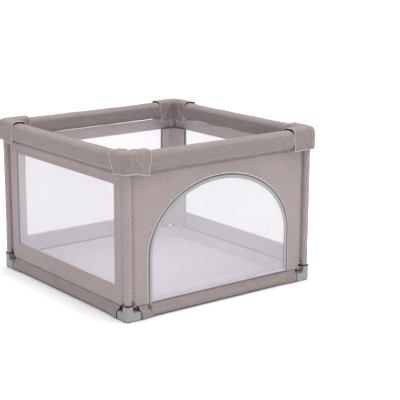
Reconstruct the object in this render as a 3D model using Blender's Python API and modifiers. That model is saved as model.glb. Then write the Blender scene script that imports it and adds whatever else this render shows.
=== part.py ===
"""Square fabric playpen: a tube frame, padded top rails, mesh windows and a zipped mesh door.

Metres, +Z up. The origin is on the ground, at the centre of the square. The door is in the front
wall, at -Y, and its zip slider is parked at the door's lower left corner, seen from outside.
"""

import math

import bmesh
import bpy
from mathutils import Matrix, Vector

# Overall sizes
WIDTH = 1.000                # over the outer faces of the feet, along X
DEPTH = 1.000                # over the outer faces of the feet, along Y
RAIL_HEIGHT = 0.6575         # ground to the middle of the top rails
GAP = 0.0003                 # between two pieces that touch
OVERLAP = 0.001              # how deep a joined shape starts in its neighbour

# Tube frame
TUBE_DIAMETER = 0.025
TUBE_WALL = 0.0008
BLOCK = 0.034                # side of the block where three tubes meet, and height of a foot's arms
FOOT_ARM = 0.078             # a foot's arm, from its outer face to its end
FOOT_SOCKET_HEIGHT = 0.069   # ground to the top of a foot's upright socket
FOOT_CORNER_RADIUS = 0.007
FOOT_INNER_RADIUS = 0.002
FOOT_EDGE = 0.002            # rounding of a foot's arms
SOCKET_EDGE = 0.0015         # rounding of its upright socket
SOCKET_FLOOR = 0.003         # wall between a socket's bottom and the block
WEB_THICKNESS = 0.006
FILLET_WIDTH = 0.026         # the hollow curve between an arm and the upright socket
FILLET_RADIUS = 0.010
WEB_SHORT = 0.004            # a foot's web ends this far from its arms' ends
GRIP_HEIGHT = 0.003          # rubber disc under a foot
GRIP_DIAMETER = 0.028
GRIP_EDGE = 0.0006
TOP_ARM = 0.072              # a top corner's arm, from its outer face to its end
TOP_BLOCK_LIP = 0.001        # how far a top corner's block stands over its arms
TOP_NECK_STEP = 0.0005       # its neck is this much slimmer than the block

# Padded top rails and their corner caps
PAD_THICKNESS = 0.068
PAD_HEIGHT = 0.091
PAD_EDGE_RADIUS = 0.016
CAP_CLOTH = 0.0025
CAP_ARM = 0.125              # a cap's arm, from its outer corner to its end
CAP_OUTER_RADIUS = 0.030
CAP_INNER_RADIUS = 0.006
CAP_DROP = 0.008             # how far a cap hangs below the rail pads

# Fabric walls
WALL_CLOTH = 0.0015
POST_SLEEVE_CLOTH = 0.0037
BAND_CLOTH = 0.0025          # the sleeve round a bottom rail
BAND_TOP = 0.056             # ground to the seam on top of that sleeve
BAND_SEAM = 0.003            # thickness of the seam
CORNER_CUT_ALONG = 0.045     # the cut-out over each foot, along the wall and up the post
CORNER_CUT_UP = 0.030
WINDOW_SIDE = 0.108          # outer face of the foot to the window's edge
WINDOW_BOTTOM = 0.1365
WINDOW_DROP = 0.052          # underside of the rail pad to the window
WINDOW_CORNER_RADIUS = 0.004
MESH_CLOTH = 0.0012
MESH_LAP = 0.012             # how far a window's mesh reaches behind the wall's edge
BINDING_THICKNESS = 0.003    # black elastic edging of the cut-outs
BINDING_LEAN = 0.012         # how far the edging leans in from the ground to the seam
BINDING_REACH = 0.034        # how far it has come in where it nears the post
BINDING_DIP = 0.004          # how far it lies there below its top
BINDING_FLAT = 0.006         # how far it runs level past the post

# Door, measured on the edge of the opening
DOOR_SIDE = 0.115            # outer face of the foot to the opening's edge
DOOR_SPRING = 0.250          # ground to where the arch starts
DOOR_DROP = 0.055            # underside of the rail pad to the top of the arch
DOOR_CLEARANCE = 0.0015      # the door's lower edge over the seam
ZIP_HALF = 0.008             # width of the zip's outer half
ZIP_INNER = 0.0055           # width of the zip's inner half, which rides on the door
ZIP_CLOTH = 0.0016
BORDER_WIDTH = 0.0105
ARCH_STEPS = 36

# Zip slider and its pull
SLIDER_WIDTH = 0.009
SLIDER_LENGTH = 0.013
SLIDER_THICKNESS = 0.0045
SLIDER_REST = 0.0039         # round part of the sleeve to the parked slider
SLIDER_CORNER = 0.003
SLIDER_EDGE = 0.0006
SLIDER_LIFT = 0.001          # the slider's back face in front of the wall's band
EAR_THICKNESS = 0.0012
EAR_DEPTH = 0.0052
EAR_HEIGHT = 0.0050
EAR_CORNER = 0.001
EAR_ROOT = 0.0004            # how deep the ears start in the slider
PIN_DIAMETER = 0.0016
PIN_OUT = 0.0028             # the pin's axis in front of the slider
KNUCKLE_DIAMETER = 0.0046
KNUCKLE_LENGTH = 0.0046
PULL_LENGTH = 0.022
PULL_WIDTH = 0.008
PULL_THICKNESS = 0.0014
PULL_CORNER = 0.003
PULL_NECK_STEP = 0.0002      # the neck is this much narrower than the knuckle, on each side
PULL_TILT = math.radians(22)  # the pull leans out over the sleeve

# Floor
FLOOR_CLOTH = 0.0015
FLOOR_LOW = 0.0058           # ground to the floor sheet
FLOOR_SLOPE = 0.041          # width of the sheet's sloping edge
FLOOR_PAST_FOOT = 0.005      # the sheet's corners are cut off this far past the feet
MAT_THICKNESS = 0.022
MAT_INSET = 0.008            # the mat's edge to the foot of the sloping edge
MAT_CORNER_INSET = 0.003     # the same at the sheet's cut corners
MAT_EDGE_RADIUS = 0.006

# Where things are
POST_X = (WIDTH - BLOCK) / 2
POST_Y = (DEPTH - BLOCK) / 2
FOOT_BASE = GRIP_HEIGHT + GAP
LOW_RAIL_HEIGHT = FOOT_BASE + BLOCK / 2
TUBE_RADIUS = TUBE_DIAMETER / 2
BORE_RADIUS = TUBE_RADIUS + GAP
POST_SLEEVE_RADIUS = BORE_RADIUS + POST_SLEEVE_CLOTH
BAND_RADIUS = BORE_RADIUS + BAND_CLOTH
PAD_BOTTOM = RAIL_HEIGHT - PAD_HEIGHT / 2
PAD_TOP = RAIL_HEIGHT + PAD_HEIGHT / 2
CAP_HALF = PAD_THICKNESS / 2 + GAP + CAP_CLOTH
CAP_BOTTOM = PAD_BOTTOM - CAP_DROP
CAP_TOP = PAD_TOP + GAP + CAP_CLOTH
WINDOW_TOP = PAD_BOTTOM - WINDOW_DROP
DOOR_HALF_WIDTH = WIDTH / 2 - DOOR_SIDE
DOOR_TOP = PAD_BOTTOM - DOOR_DROP
DOOR_BASE = BAND_TOP + DOOR_CLEARANCE
SLIDER_PARKED = LOW_RAIL_HEIGHT + BAND_RADIUS + SLIDER_REST + SLIDER_LENGTH / 2
FLOOR_CORNER = FOOT_ARM + FLOOR_PAST_FOOT
CHAIN = ZIP_HALF + GAP / 2   # the middle of the zip, in from the opening's edge

CORNERS = (("front_left", 0, -1, -1), ("front_right", 90, 1, -1),
           ("back_right", 180, 1, 1), ("back_left", 270, -1, 1))
SIDES = (("front", 0, POST_X, POST_Y), ("right", 90, POST_Y, POST_X),
         ("back", 180, POST_X, POST_Y), ("left", 270, POST_Y, POST_X))

# Directions in which a flat outline is thickened: its own plane becomes the wall's, or a section
UPRIGHT = Matrix.Rotation(math.pi / 2, 4, "X")
SECTION = Matrix(((0, 0, 1, 0), (1, 0, 0, 0), (0, 1, 0, 0), (0, 0, 0, 1)))

# Colour, metallic and roughness of each material
FINISHES = {
    "heather_cloth": ((0.33, 0.29, 0.28), 0.0, 0.92),
    "wall_cloth": ((0.42, 0.37, 0.36), 0.0, 0.90),
    "window_mesh": ((0.86, 0.85, 0.88), 0.0, 0.80),
    "zip_tape": ((0.50, 0.52, 0.51), 0.0, 0.70),
    "floor_cloth": ((0.66, 0.62, 0.66), 0.0, 0.85),
    "foot_plastic": ((0.34, 0.36, 0.34), 0.0, 0.48),
    "steel_tube": ((0.62, 0.63, 0.64), 0.9, 0.35),
    "grip_rubber": ((0.05, 0.05, 0.05), 0.0, 0.85),
    "black_elastic": ((0.02, 0.02, 0.02), 0.0, 0.80),
    "slider_metal": ((0.45, 0.46, 0.46), 0.8, 0.40),
}


def clear_scene():
    """Removes every object of the scene."""
    for item in list(bpy.data.objects):
        bpy.data.objects.remove(item, do_unlink=True)


def make_collection(name):
    collection = bpy.data.collections.new(name)
    bpy.context.scene.collection.children.link(collection)
    return collection


def make_finishes():
    """One Principled material per finish."""
    made = {}
    for name, (colour, metallic, roughness) in FINISHES.items():
        material = bpy.data.materials.new(name)
        material.use_nodes = True
        shader = material.node_tree.nodes["Principled BSDF"]
        shader.inputs["Base Color"].default_value = (*colour, 1.0)
        shader.inputs["Metallic"].default_value = metallic
        shader.inputs["Roughness"].default_value = roughness
        made[name] = material
    return made


# Outlines: lists of points in a plane

def arc(centre, radius, start, end, steps):
    """Points on a circle's arc, from the angle start to end, in degrees."""
    angles = [math.radians(start + (end - start) * i / steps) for i in range(steps + 1)]
    return [(centre[0] + radius * math.cos(a), centre[1] + radius * math.sin(a)) for a in angles]


def circle(radius, steps=20):
    return arc((0, 0), radius, 0, 360, steps)[:-1]


def rounded_box(half_width, low, high, radius, steps=4):
    """A rectangle with round corners, from low to high and half_width to each side."""
    x, bottom, top = half_width - radius, low + radius, high - radius
    return (arc((x, top), radius, 0, 90, steps) + arc((-x, top), radius, 90, 180, steps)
            + arc((-x, bottom), radius, 180, 270, steps) + arc((x, bottom), radius, 270, 360, steps))


def corner_outline(half, end, outer_radius, inner_radius):
    """An L round the post's axis: arms 2 * half wide that run to end along +X and +Y."""
    return ([(end, -half), (end, half)]
            + arc((half + inner_radius, half + inner_radius), inner_radius, 270, 180, 4)
            + [(half, end), (-half, end)]
            + arc((outer_radius - half, outer_radius - half), outer_radius, 180, 270, 8))


def arch_outline(inset, base):
    """The door's outline, inset from the opening's edge, from its right foot to its left foot."""
    half, rise = DOOR_HALF_WIDTH - inset, DOOR_TOP - DOOR_SPRING - inset
    turn = [math.pi * i / ARCH_STEPS for i in range(ARCH_STEPS + 1)]
    arch = [(half * math.cos(a), DOOR_SPRING + rise * math.sin(a)) for a in turn]
    return [(half, base)] + arch + [(-half, base)]


def octagon(half_x, half_y, cut):
    """A rectangle's outline with its corners cut off."""
    x, y = half_x - cut, half_y - cut
    return [(half_x, y), (x, half_y), (-x, half_y), (-half_x, y),
            (-half_x, -y), (-x, -half_y), (x, -half_y), (half_x, -y)]


# Meshes

def evaluated_mesh(item):
    """The object's mesh after its modifiers, in the object's own space; the object is removed."""
    bpy.context.scene.collection.objects.link(item)
    graph = bpy.context.evaluated_depsgraph_get()
    mesh = bpy.data.meshes.new_from_object(item.evaluated_get(graph))
    bpy.data.objects.remove(item, do_unlink=True)
    return mesh


def tidy(mesh):
    """Merges the mesh's double points and turns its faces outwards."""
    work = bmesh.new()
    work.from_mesh(mesh)
    bmesh.ops.remove_doubles(work, verts=work.verts, dist=1e-6)
    bmesh.ops.recalc_face_normals(work, faces=work.faces)
    work.to_mesh(mesh)
    work.free()
    return mesh


def plate(loops, thickness, place=Matrix()):
    """A flat outline with holes, thickened to both sides of its plane, then placed."""
    curve = bpy.data.curves.new("outline", "CURVE")
    curve.dimensions = "2D"
    curve.fill_mode = "BOTH"
    curve.extrude = thickness / 2
    for loop in loops:
        spline = curve.splines.new("POLY")
        spline.points.add(len(loop) - 1)
        for point, (x, y) in zip(spline.points, loop):
            point.co = (x, y, 0, 1)
        spline.use_cyclic_u = True
    mesh = tidy(evaluated_mesh(bpy.data.objects.new("outline", curve)))
    bpy.data.curves.remove(curve)
    mesh.transform(place)
    return mesh


def tube(radius, bore, length, place=Matrix()):
    """A round tube along Z, centred before it is placed."""
    return plate([circle(radius), circle(bore)], length, place)


def rod(radius, length, place=Matrix()):
    """A round rod along Z, centred before it is placed."""
    return plate([circle(radius)], length, place)


def combine(body, joined=(), removed=()):
    """One mesh: body joined to the meshes of joined, then cut by those of removed."""
    base = bpy.data.objects.new("body", body)
    tools = []
    for operation, meshes in (("UNION", joined), ("DIFFERENCE", removed)):
        for mesh in meshes:
            tool = bpy.data.objects.new("tool", mesh)
            bpy.context.scene.collection.objects.link(tool)
            modifier = base.modifiers.new(operation, "BOOLEAN")
            modifier.operation = operation
            modifier.object = tool
            tools.append(tool)
    result = evaluated_mesh(base)
    for tool in tools:
        bpy.data.objects.remove(tool, do_unlink=True)
    return tidy(result)


def soften(mesh, width, segments=2, least_angle=40):
    """Rounds the mesh's sharp edges."""
    work = bmesh.new()
    work.from_mesh(mesh)
    bmesh.ops.dissolve_limit(work, angle_limit=math.radians(1), verts=work.verts, edges=work.edges)
    sharp = [e for e in work.edges if e.calc_face_angle(0) > math.radians(least_angle)]
    bmesh.ops.bevel(work, geom=sharp, offset=width, segments=segments, profile=0.5, affect="EDGES")
    work.to_mesh(mesh)
    work.free()
    return mesh


def move(x, y, z):
    return Matrix.Translation(Vector((x, y, z)))


# Objects

class Playpen:
    """Holds the collection and the materials, and adds named pieces to them."""

    def __init__(self):
        self.collection = make_collection("playpen")
        self.finishes = make_finishes()

    def add(self, name, mesh, finish, place=Matrix()):
        """Adds one piece; its mesh may be shared with another piece."""
        if not mesh.materials:
            mesh.materials.append(self.finishes[finish])
            mesh.shade_smooth()
            mesh.set_sharp_from_angle(angle=math.radians(35))
        item = bpy.data.objects.new(name, mesh)
        self.collection.objects.link(item)
        item.matrix_world = place
        return item

    def at_corners(self, name, mesh, finish):
        """Adds a piece at each of the four posts; its own origin is on the post's axis."""
        for corner, angle, side_x, side_y in CORNERS:
            turn = Matrix.Rotation(math.radians(angle), 4, "Z")
            place = move(side_x * POST_X, side_y * POST_Y, 0) @ turn
            self.add(f"{name}_{corner}", mesh, finish, place)

    def on_sides(self, name, make, finish, sides=SIDES):
        """Adds a piece to each side; make gets half the distance between the side's posts."""
        for side, angle, half, out in sides:
            turn = Matrix.Rotation(math.radians(angle), 4, "Z")
            self.add(f"{name}_{side}", make(half), finish, turn @ move(0, -out, 0))


# Corner pieces: their origin is on the post's axis, on the ground, and their arms run along +X and +Y

def arm_socket(end, height):
    """A bore from an arm's end to the block, along X."""
    bottom = BLOCK / 2 + SOCKET_FLOOR
    length = end - bottom + GAP
    return rod(BORE_RADIUS, length, move(bottom + length / 2, 0, height) @ SECTION)


def turned_to_y(mesh_maker, *sizes):
    """The same mesh once more, given a quarter turn from the X arm to the Y arm."""
    mesh = mesh_maker(*sizes)
    mesh.transform(Matrix.Rotation(math.pi / 2, 4, "Z"))
    return mesh


def foot_fillet():
    """The hollow curve that fills the corner between an arm and the upright socket."""
    low, side = FOOT_BASE + BLOCK, BLOCK / 2
    curve = arc((side + FILLET_RADIUS, low + FILLET_RADIUS), FILLET_RADIUS, 180, 270, 6)
    outline = [(side - OVERLAP, low - OVERLAP), (side + FILLET_RADIUS, low - OVERLAP)]
    top = (side - OVERLAP, low + FILLET_RADIUS)
    return plate([outline + curve[::-1] + [top]], FILLET_WIDTH, UPRIGHT)


def foot_mesh():
    """A moulded foot: two arms, an upright socket, a web between the arms and two fillets."""
    half, end = BLOCK / 2, FOOT_ARM - BLOCK / 2
    arms = plate([corner_outline(half, end, FOOT_CORNER_RADIUS, FOOT_INNER_RADIUS)], BLOCK,
                 move(0, 0, FOOT_BASE + half))
    upright_height = FOOT_SOCKET_HEIGHT - FOOT_BASE
    upright = plate([rounded_box(half, -half, half, FOOT_CORNER_RADIUS)], upright_height,
                    move(0, 0, FOOT_BASE + upright_height / 2))
    root, tip = half - OVERLAP, end - WEB_SHORT
    web = plate([[(root, root), (tip, root), (root, tip)]], WEB_THICKNESS, move(0, 0, FOOT_BASE + half))
    drop = FOOT_SOCKET_HEIGHT - FOOT_BASE - SOCKET_FLOOR
    post_socket = rod(BORE_RADIUS, drop + GAP, move(0, 0, FOOT_BASE + SOCKET_FLOOR + (drop + GAP) / 2))
    fillets = [foot_fillet(), turned_to_y(foot_fillet)]
    sockets = [arm_socket(end, LOW_RAIL_HEIGHT), turned_to_y(arm_socket, end, LOW_RAIL_HEIGHT), post_socket]
    joined = [soften(upright, SOCKET_EDGE), web, *fillets]
    return combine(soften(arms, FOOT_EDGE), joined=joined, removed=sockets)


def grip_mesh():
    return soften(rod(GRIP_DIAMETER / 2, GRIP_HEIGHT, move(0, 0, GRIP_HEIGHT / 2)), GRIP_EDGE, 1)


def top_arm():
    """A round arm of a top corner, from inside its block to its end, along X."""
    length = TOP_ARM - BLOCK / 2
    return rod(BLOCK / 2, length, move(length / 2, 0, RAIL_HEIGHT) @ SECTION)


def top_corner_mesh():
    """The connector where a post meets two top rails, with a socket for each."""
    half, end = BLOCK / 2, TOP_ARM - BLOCK / 2
    block = plate([rounded_box(half, -half, half, FOOT_CORNER_RADIUS)], BLOCK + 2 * TOP_BLOCK_LIP,
                  move(0, 0, RAIL_HEIGHT))
    drop = RAIL_HEIGHT - PAD_BOTTOM
    neck = rod(half - TOP_NECK_STEP, drop, move(0, 0, RAIL_HEIGHT - drop / 2))
    bore = drop - SOCKET_FLOOR
    post_socket = rod(BORE_RADIUS, bore + GAP, move(0, 0, PAD_BOTTOM - GAP + (bore + GAP) / 2))
    sockets = [arm_socket(end, RAIL_HEIGHT), turned_to_y(arm_socket, end, RAIL_HEIGHT), post_socket]
    return combine(block, joined=[top_arm(), turned_to_y(top_arm), neck], removed=sockets)


def cap_mesh():
    """A cloth cap over the corner, open below and at the ends of its arms."""
    end = CAP_ARM - CAP_HALF
    outside = plate([corner_outline(CAP_HALF, end, CAP_OUTER_RADIUS, CAP_INNER_RADIUS)],
                    CAP_TOP - CAP_BOTTOM, move(0, 0, (CAP_TOP + CAP_BOTTOM) / 2))
    inside_height = CAP_TOP - CAP_CLOTH - CAP_BOTTOM + CAP_DROP
    inside = plate([corner_outline(CAP_HALF - CAP_CLOTH, end + CAP_CLOTH, CAP_OUTER_RADIUS - CAP_CLOTH,
                                   CAP_INNER_RADIUS + CAP_CLOTH)],
                   inside_height, move(0, 0, CAP_TOP - CAP_CLOTH - inside_height / 2))
    return combine(outside, removed=[inside])


def binding_curve():
    """The edging of a foot's cut-out: up the front band's end, round the post and down the other."""
    out = -max(POST_SLEEVE_RADIUS, BAND_RADIUS, BLOCK / 2) - BINDING_THICKNESS / 2 - GAP
    along = FOOT_ARM - BLOCK / 2 - BINDING_THICKNESS
    low, middle = FOOT_BASE + BINDING_THICKNESS, BAND_TOP - BINDING_THICKNESS
    high = FOOT_SOCKET_HEIGHT + BINDING_THICKNESS
    front = [(along, out, low), (along - BINDING_LEAN / 4, out, (low + middle) / 2),
             (along - BINDING_LEAN, out, middle), (along - BINDING_REACH, out, high - BINDING_DIP),
             (BINDING_FLAT, out, high)]
    turn = [(x, y, high) for x, y in arc((0, 0), -out, 265, 185, 6)]
    side = [(y, x, z) for x, y, z in reversed(front)]
    curve = bpy.data.curves.new("binding", "CURVE")
    curve.dimensions = "3D"
    curve.bevel_depth = BINDING_THICKNESS / 2
    curve.bevel_resolution = 1
    curve.use_fill_caps = True
    points = front + turn + side
    spline = curve.splines.new("POLY")
    spline.points.add(len(points) - 1)
    for point, place in zip(spline.points, points):
        point.co = (*place, 1)
    return curve


def binding_mesh():
    curve = binding_curve()
    mesh = tidy(evaluated_mesh(bpy.data.objects.new("binding", curve)))
    bpy.data.curves.remove(curve)
    return mesh


# Pieces of a side: +X runs along the wall, -Y points out, and Y = 0 is the plane of the posts

def low_rail(half):
    length = 2 * (half - BLOCK / 2 - SOCKET_FLOOR - GAP)
    return tube(TUBE_RADIUS, TUBE_RADIUS - TUBE_WALL, length, move(0, 0, LOW_RAIL_HEIGHT) @ SECTION)


def top_rail(half):
    length = 2 * (half - BLOCK / 2 - SOCKET_FLOOR - GAP)
    return tube(TUBE_RADIUS, TUBE_RADIUS - TUBE_WALL, length, move(0, 0, RAIL_HEIGHT) @ SECTION)


def rail_pad(half):
    """A foam sleeve round a top rail, with a wider bore over each connector's arm."""
    end = half - PAD_THICKNESS / 2 - GAP
    section = rounded_box(PAD_THICKNESS / 2, -PAD_HEIGHT / 2, PAD_HEIGHT / 2, PAD_EDGE_RADIUS)
    body = plate([section, circle(BORE_RADIUS)], 2 * end, move(0, 0, RAIL_HEIGHT) @ SECTION)
    reach = half - (TOP_ARM - BLOCK / 2) - GAP
    length = end - reach + GAP
    bores = [rod(BLOCK / 2 + GAP, length, move(side * (reach + length / 2), 0, RAIL_HEIGHT) @ SECTION)
             for side in (-1, 1)]
    return combine(body, removed=bores)


def band(half):
    """The sleeve round a bottom rail: a round part and, above it, the flat seam."""
    end = half - (FOOT_ARM - BLOCK / 2) - GAP
    neck, seam = BAND_TOP - LOW_RAIL_HEIGHT, BAND_SEAM / 2
    turn = math.degrees(math.asin(seam / BAND_RADIUS))
    outline = [(seam, neck), (-seam, neck)] + arc((0, 0), BAND_RADIUS, 90 + turn, 450 - turn, 20)
    return plate([outline, circle(BORE_RADIUS)], 2 * end, move(0, 0, LOW_RAIL_HEIGHT) @ SECTION)


def wall_edge(half):
    """The right half of a wall's outer edge, from its lower edge up to its upper edge."""
    side, low = half - POST_SLEEVE_RADIUS - GAP, BAND_TOP + GAP
    return [(half - (FOOT_ARM - BLOCK / 2), low), (side - CORNER_CUT_ALONG / 3, low + CORNER_CUT_UP / 4),
            (side, low + CORNER_CUT_UP), (side, PAD_BOTTOM - GAP)]


def mirrored(points):
    return [(-x, y) for x, y in reversed(points)]


def window_wall(half):
    edge = wall_edge(half)
    window = rounded_box(half + BLOCK / 2 - WINDOW_SIDE, WINDOW_BOTTOM, WINDOW_TOP, WINDOW_CORNER_RADIUS, 2)
    return plate([edge + mirrored(edge), window], WALL_CLOTH, UPRIGHT)


def window_mesh(half):
    """Mesh sewn to the inner face of a wall, over its window."""
    width = half + BLOCK / 2 - WINDOW_SIDE + MESH_LAP
    sheet = rounded_box(width, WINDOW_BOTTOM - MESH_LAP, WINDOW_TOP + MESH_LAP, MESH_LAP, 2)
    inside = WALL_CLOTH / 2 + GAP + MESH_CLOTH / 2
    return plate([sheet], MESH_CLOTH, move(0, inside, 0) @ UPRIGHT)


def door_wall(half):
    """The front wall: it is open under the arch down to the band."""
    edge = wall_edge(half)
    opening = arch_outline(0, BAND_TOP + GAP)
    return plate([edge + mirrored(edge) + opening[::-1]], WALL_CLOTH, UPRIGHT)


def arch_band(outer, inner, base, thickness):
    """A strip that follows the arch between two insets, down to base on both sides."""
    outside, inside = arch_outline(outer, base), arch_outline(inner, base)
    return plate([outside + inside[::-1]], thickness, UPRIGHT)


def zip_half_wall():
    return arch_band(GAP, ZIP_HALF, BAND_TOP + GAP, ZIP_CLOTH)


def zip_half_door():
    return arch_band(ZIP_HALF + GAP, ZIP_HALF + GAP + ZIP_INNER, DOOR_BASE, ZIP_CLOTH)


def door_border():
    """The cloth ring round the door's mesh."""
    outer = ZIP_HALF + ZIP_INNER + 2 * GAP
    inner = outer + BORDER_WIDTH
    return plate([arch_outline(outer, DOOR_BASE), arch_outline(inner, DOOR_BASE + BORDER_WIDTH)],
                 ZIP_CLOTH, UPRIGHT)


def door_mesh():
    """The door's mesh, sewn to the inner face of its border."""
    inset = ZIP_HALF + ZIP_INNER + 2 * GAP + BORDER_WIDTH / 4
    inside = ZIP_CLOTH / 2 + GAP + MESH_CLOTH / 2
    outline = arch_outline(inset, DOOR_BASE + BORDER_WIDTH / 4)
    return plate([outline], MESH_CLOTH, move(0, inside, 0) @ UPRIGHT)


# Zip slider and pull: X = 0 is the zip's middle, Y = 0 the plane of the posts, Z = 0 the slider's middle

def slider_mesh():
    """The slider's plate, with two ears and the pin that the pull hangs on."""
    back = -max(WALL_CLOTH, ZIP_CLOTH, BAND_SEAM) / 2 - SLIDER_LIFT
    front = back - SLIDER_THICKNESS
    outline = rounded_box(SLIDER_WIDTH / 2, -SLIDER_LENGTH / 2, SLIDER_LENGTH / 2, SLIDER_CORNER)
    body = plate([outline], SLIDER_THICKNESS, move(0, (back + front) / 2, 0) @ UPRIGHT)
    body = soften(body, SLIDER_EDGE, 1)
    ear_middle = front + EAR_ROOT - EAR_DEPTH / 2
    ear_offset = KNUCKLE_LENGTH / 2 + GAP + EAR_THICKNESS / 2
    ear = rounded_box(EAR_DEPTH / 2, -EAR_HEIGHT / 2, EAR_HEIGHT / 2, EAR_CORNER, 2)
    ears = [plate([ear], EAR_THICKNESS, move(side * ear_offset, ear_middle, 0) @ SECTION)
            for side in (-1, 1)]
    pin = rod(PIN_DIAMETER / 2, 2 * ear_offset, move(0, front - PIN_OUT, 0) @ SECTION)
    return combine(body, joined=[*ears, pin])


def pull_axis_out():
    """How far the pin's axis is in front of the posts' plane."""
    return max(WALL_CLOTH, ZIP_CLOTH, BAND_SEAM) / 2 + SLIDER_LIFT + SLIDER_THICKNESS + PIN_OUT


def pull_mesh():
    """The pull: a knuckle round the pin, and a tab. Its origin is on the pin's axis."""
    radius, hole = KNUCKLE_DIAMETER / 2, PIN_DIAMETER / 2 + GAP
    knuckle = rod(radius, KNUCKLE_LENGTH, SECTION)
    tab = rounded_box(PULL_WIDTH / 2, -PULL_LENGTH, -radius - OVERLAP, PULL_CORNER)
    neck = rounded_box(KNUCKLE_LENGTH / 2 - PULL_NECK_STEP, -radius - PULL_CORNER - OVERLAP,
                       -(radius + hole) / 2, PULL_NECK_STEP, 1)
    bore = rod(hole, KNUCKLE_LENGTH + 2 * OVERLAP, SECTION)
    blade = [plate([neck], PULL_THICKNESS - PULL_NECK_STEP, UPRIGHT), plate([tab], PULL_THICKNESS, UPRIGHT)]
    mesh = combine(knuckle, joined=blade, removed=[bore])
    mesh.transform(Matrix.Rotation(-PULL_TILT, 4, "X"))
    return mesh


# Floor

def floor_edge():
    """How far the floor sheet's rim keeps from the posts' plane."""
    return BAND_SEAM / 2 + GAP + FLOOR_CLOTH


def floor_mesh():
    """The floor sheet: flat over the ground, with edges that slope up to the sleeves' seams."""
    edge, rim_height = floor_edge(), BAND_TOP - FLOOR_CLOTH
    work = bmesh.new()
    outline = octagon(POST_X - edge, POST_Y - edge, FLOOR_CORNER)
    sheet = work.faces.new([work.verts.new((x, y, rim_height)) for x, y in outline])
    sheet.normal_update()
    bmesh.ops.inset_individual(work, faces=[sheet], thickness=FLOOR_SLOPE, depth=FLOOR_LOW - rim_height,
                               use_even_offset=True)
    mesh = bpy.data.meshes.new("floor_sheet")
    work.to_mesh(mesh)
    work.free()
    return mesh


def mat_corner_radius():
    """The radius at which the mat's round corner keeps its inset from the sheet's cut corner."""
    diagonal = 2 - math.sqrt(2)
    cut = FLOOR_CORNER - FLOOR_SLOPE * diagonal
    return (cut + MAT_CORNER_INSET * math.sqrt(2) - 2 * MAT_INSET) / diagonal


def add_floor(pen):
    """The floor sheet gets its thickness from Solidify; the mat lies on it."""
    sheet = pen.add("floor_sheet", floor_mesh(), "floor_cloth")
    wall = sheet.modifiers.new("Cloth", "SOLIDIFY")
    wall.thickness = FLOOR_CLOTH
    wall.offset = 0
    inset = floor_edge() + FLOOR_SLOPE + MAT_INSET
    half_x, half_y = POST_X - inset, POST_Y - inset
    low = FLOOR_LOW + FLOOR_CLOTH / 2 + GAP
    mat = plate([rounded_box(half_x, -half_y, half_y, mat_corner_radius(), 6)], MAT_THICKNESS,
                move(0, 0, low + MAT_THICKNESS / 2))
    pen.add("floor_mat", soften(mat, MAT_EDGE_RADIUS), "floor_cloth")


def add_frame(pen):
    """Feet, tubes and top corners."""
    pen.at_corners("foot", foot_mesh(), "foot_plastic")
    pen.at_corners("foot_grip", grip_mesh(), "grip_rubber")
    low = FOOT_BASE + SOCKET_FLOOR + GAP
    high = RAIL_HEIGHT - SOCKET_FLOOR - GAP
    post = tube(TUBE_RADIUS, TUBE_RADIUS - TUBE_WALL, high - low, move(0, 0, (high + low) / 2))
    pen.at_corners("post", post, "steel_tube")
    pen.on_sides("bottom_rail", low_rail, "steel_tube")
    pen.on_sides("top_rail", top_rail, "steel_tube")
    pen.at_corners("top_corner", top_corner_mesh(), "foot_plastic")


def add_cover(pen):
    """Rail pads, caps, sleeves, walls, windows and edgings."""
    pen.on_sides("rail_pad", rail_pad, "heather_cloth")
    pen.at_corners("corner_cap", cap_mesh(), "heather_cloth")
    low, high = FOOT_SOCKET_HEIGHT + GAP, PAD_BOTTOM - GAP
    sleeve = tube(POST_SLEEVE_RADIUS, BORE_RADIUS, high - low, move(0, 0, (high + low) / 2))
    pen.at_corners("post_sleeve", sleeve, "wall_cloth")
    pen.on_sides("bottom_sleeve", band, "wall_cloth")
    pen.on_sides("wall", door_wall, "wall_cloth", SIDES[:1])
    pen.on_sides("wall", window_wall, "wall_cloth", SIDES[1:])
    pen.on_sides("window_mesh", window_mesh, "window_mesh", SIDES[1:])
    pen.at_corners("foot_binding", binding_mesh(), "black_elastic")


def add_door(pen):
    """The door and its zip. The door folds down over the outer edge of the sleeve's seam."""
    pen.add("zip_tape_wall", zip_half_wall(), "zip_tape", move(0, -POST_Y, 0))
    hinge = bpy.data.objects.new("door_hinge", None)
    pen.collection.objects.link(hinge)
    fold_out = (BAND_SEAM + ZIP_CLOTH) / 2 + GAP
    hinge.matrix_world = move(0, -POST_Y - fold_out, BAND_TOP + GAP)
    bpy.context.view_layer.update()
    for name, mesh, finish in (("zip_tape_door", zip_half_door(), "zip_tape"),
                               ("door_border", door_border(), "zip_tape"),
                               ("door_mesh", door_mesh(), "window_mesh")):
        piece = pen.add(name, mesh, finish, move(0, -POST_Y, 0))
        piece.parent = hinge
        piece.matrix_parent_inverse = hinge.matrix_world.inverted()
    chain = -(DOOR_HALF_WIDTH - CHAIN)
    pen.add("zip_slider", slider_mesh(), "slider_metal", move(chain, -POST_Y, SLIDER_PARKED))
    pen.add("zip_pull", pull_mesh(), "slider_metal", move(chain, -POST_Y - pull_axis_out(), SLIDER_PARKED))


def main():
    clear_scene()
    pen = Playpen()
    add_frame(pen)
    add_cover(pen)
    add_door(pen)
    add_floor(pen)


main()
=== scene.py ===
"""The looks of a square fabric playpen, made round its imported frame.

The frame gives the sizes of its pieces. Each sub-assembly is a class that works out its cloth as
numpy surfaces, puts them into meshes, dresses them in a finish and says which body they ride on.
"""

import logging
import math
from dataclasses import dataclass
from enum import Enum

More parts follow.
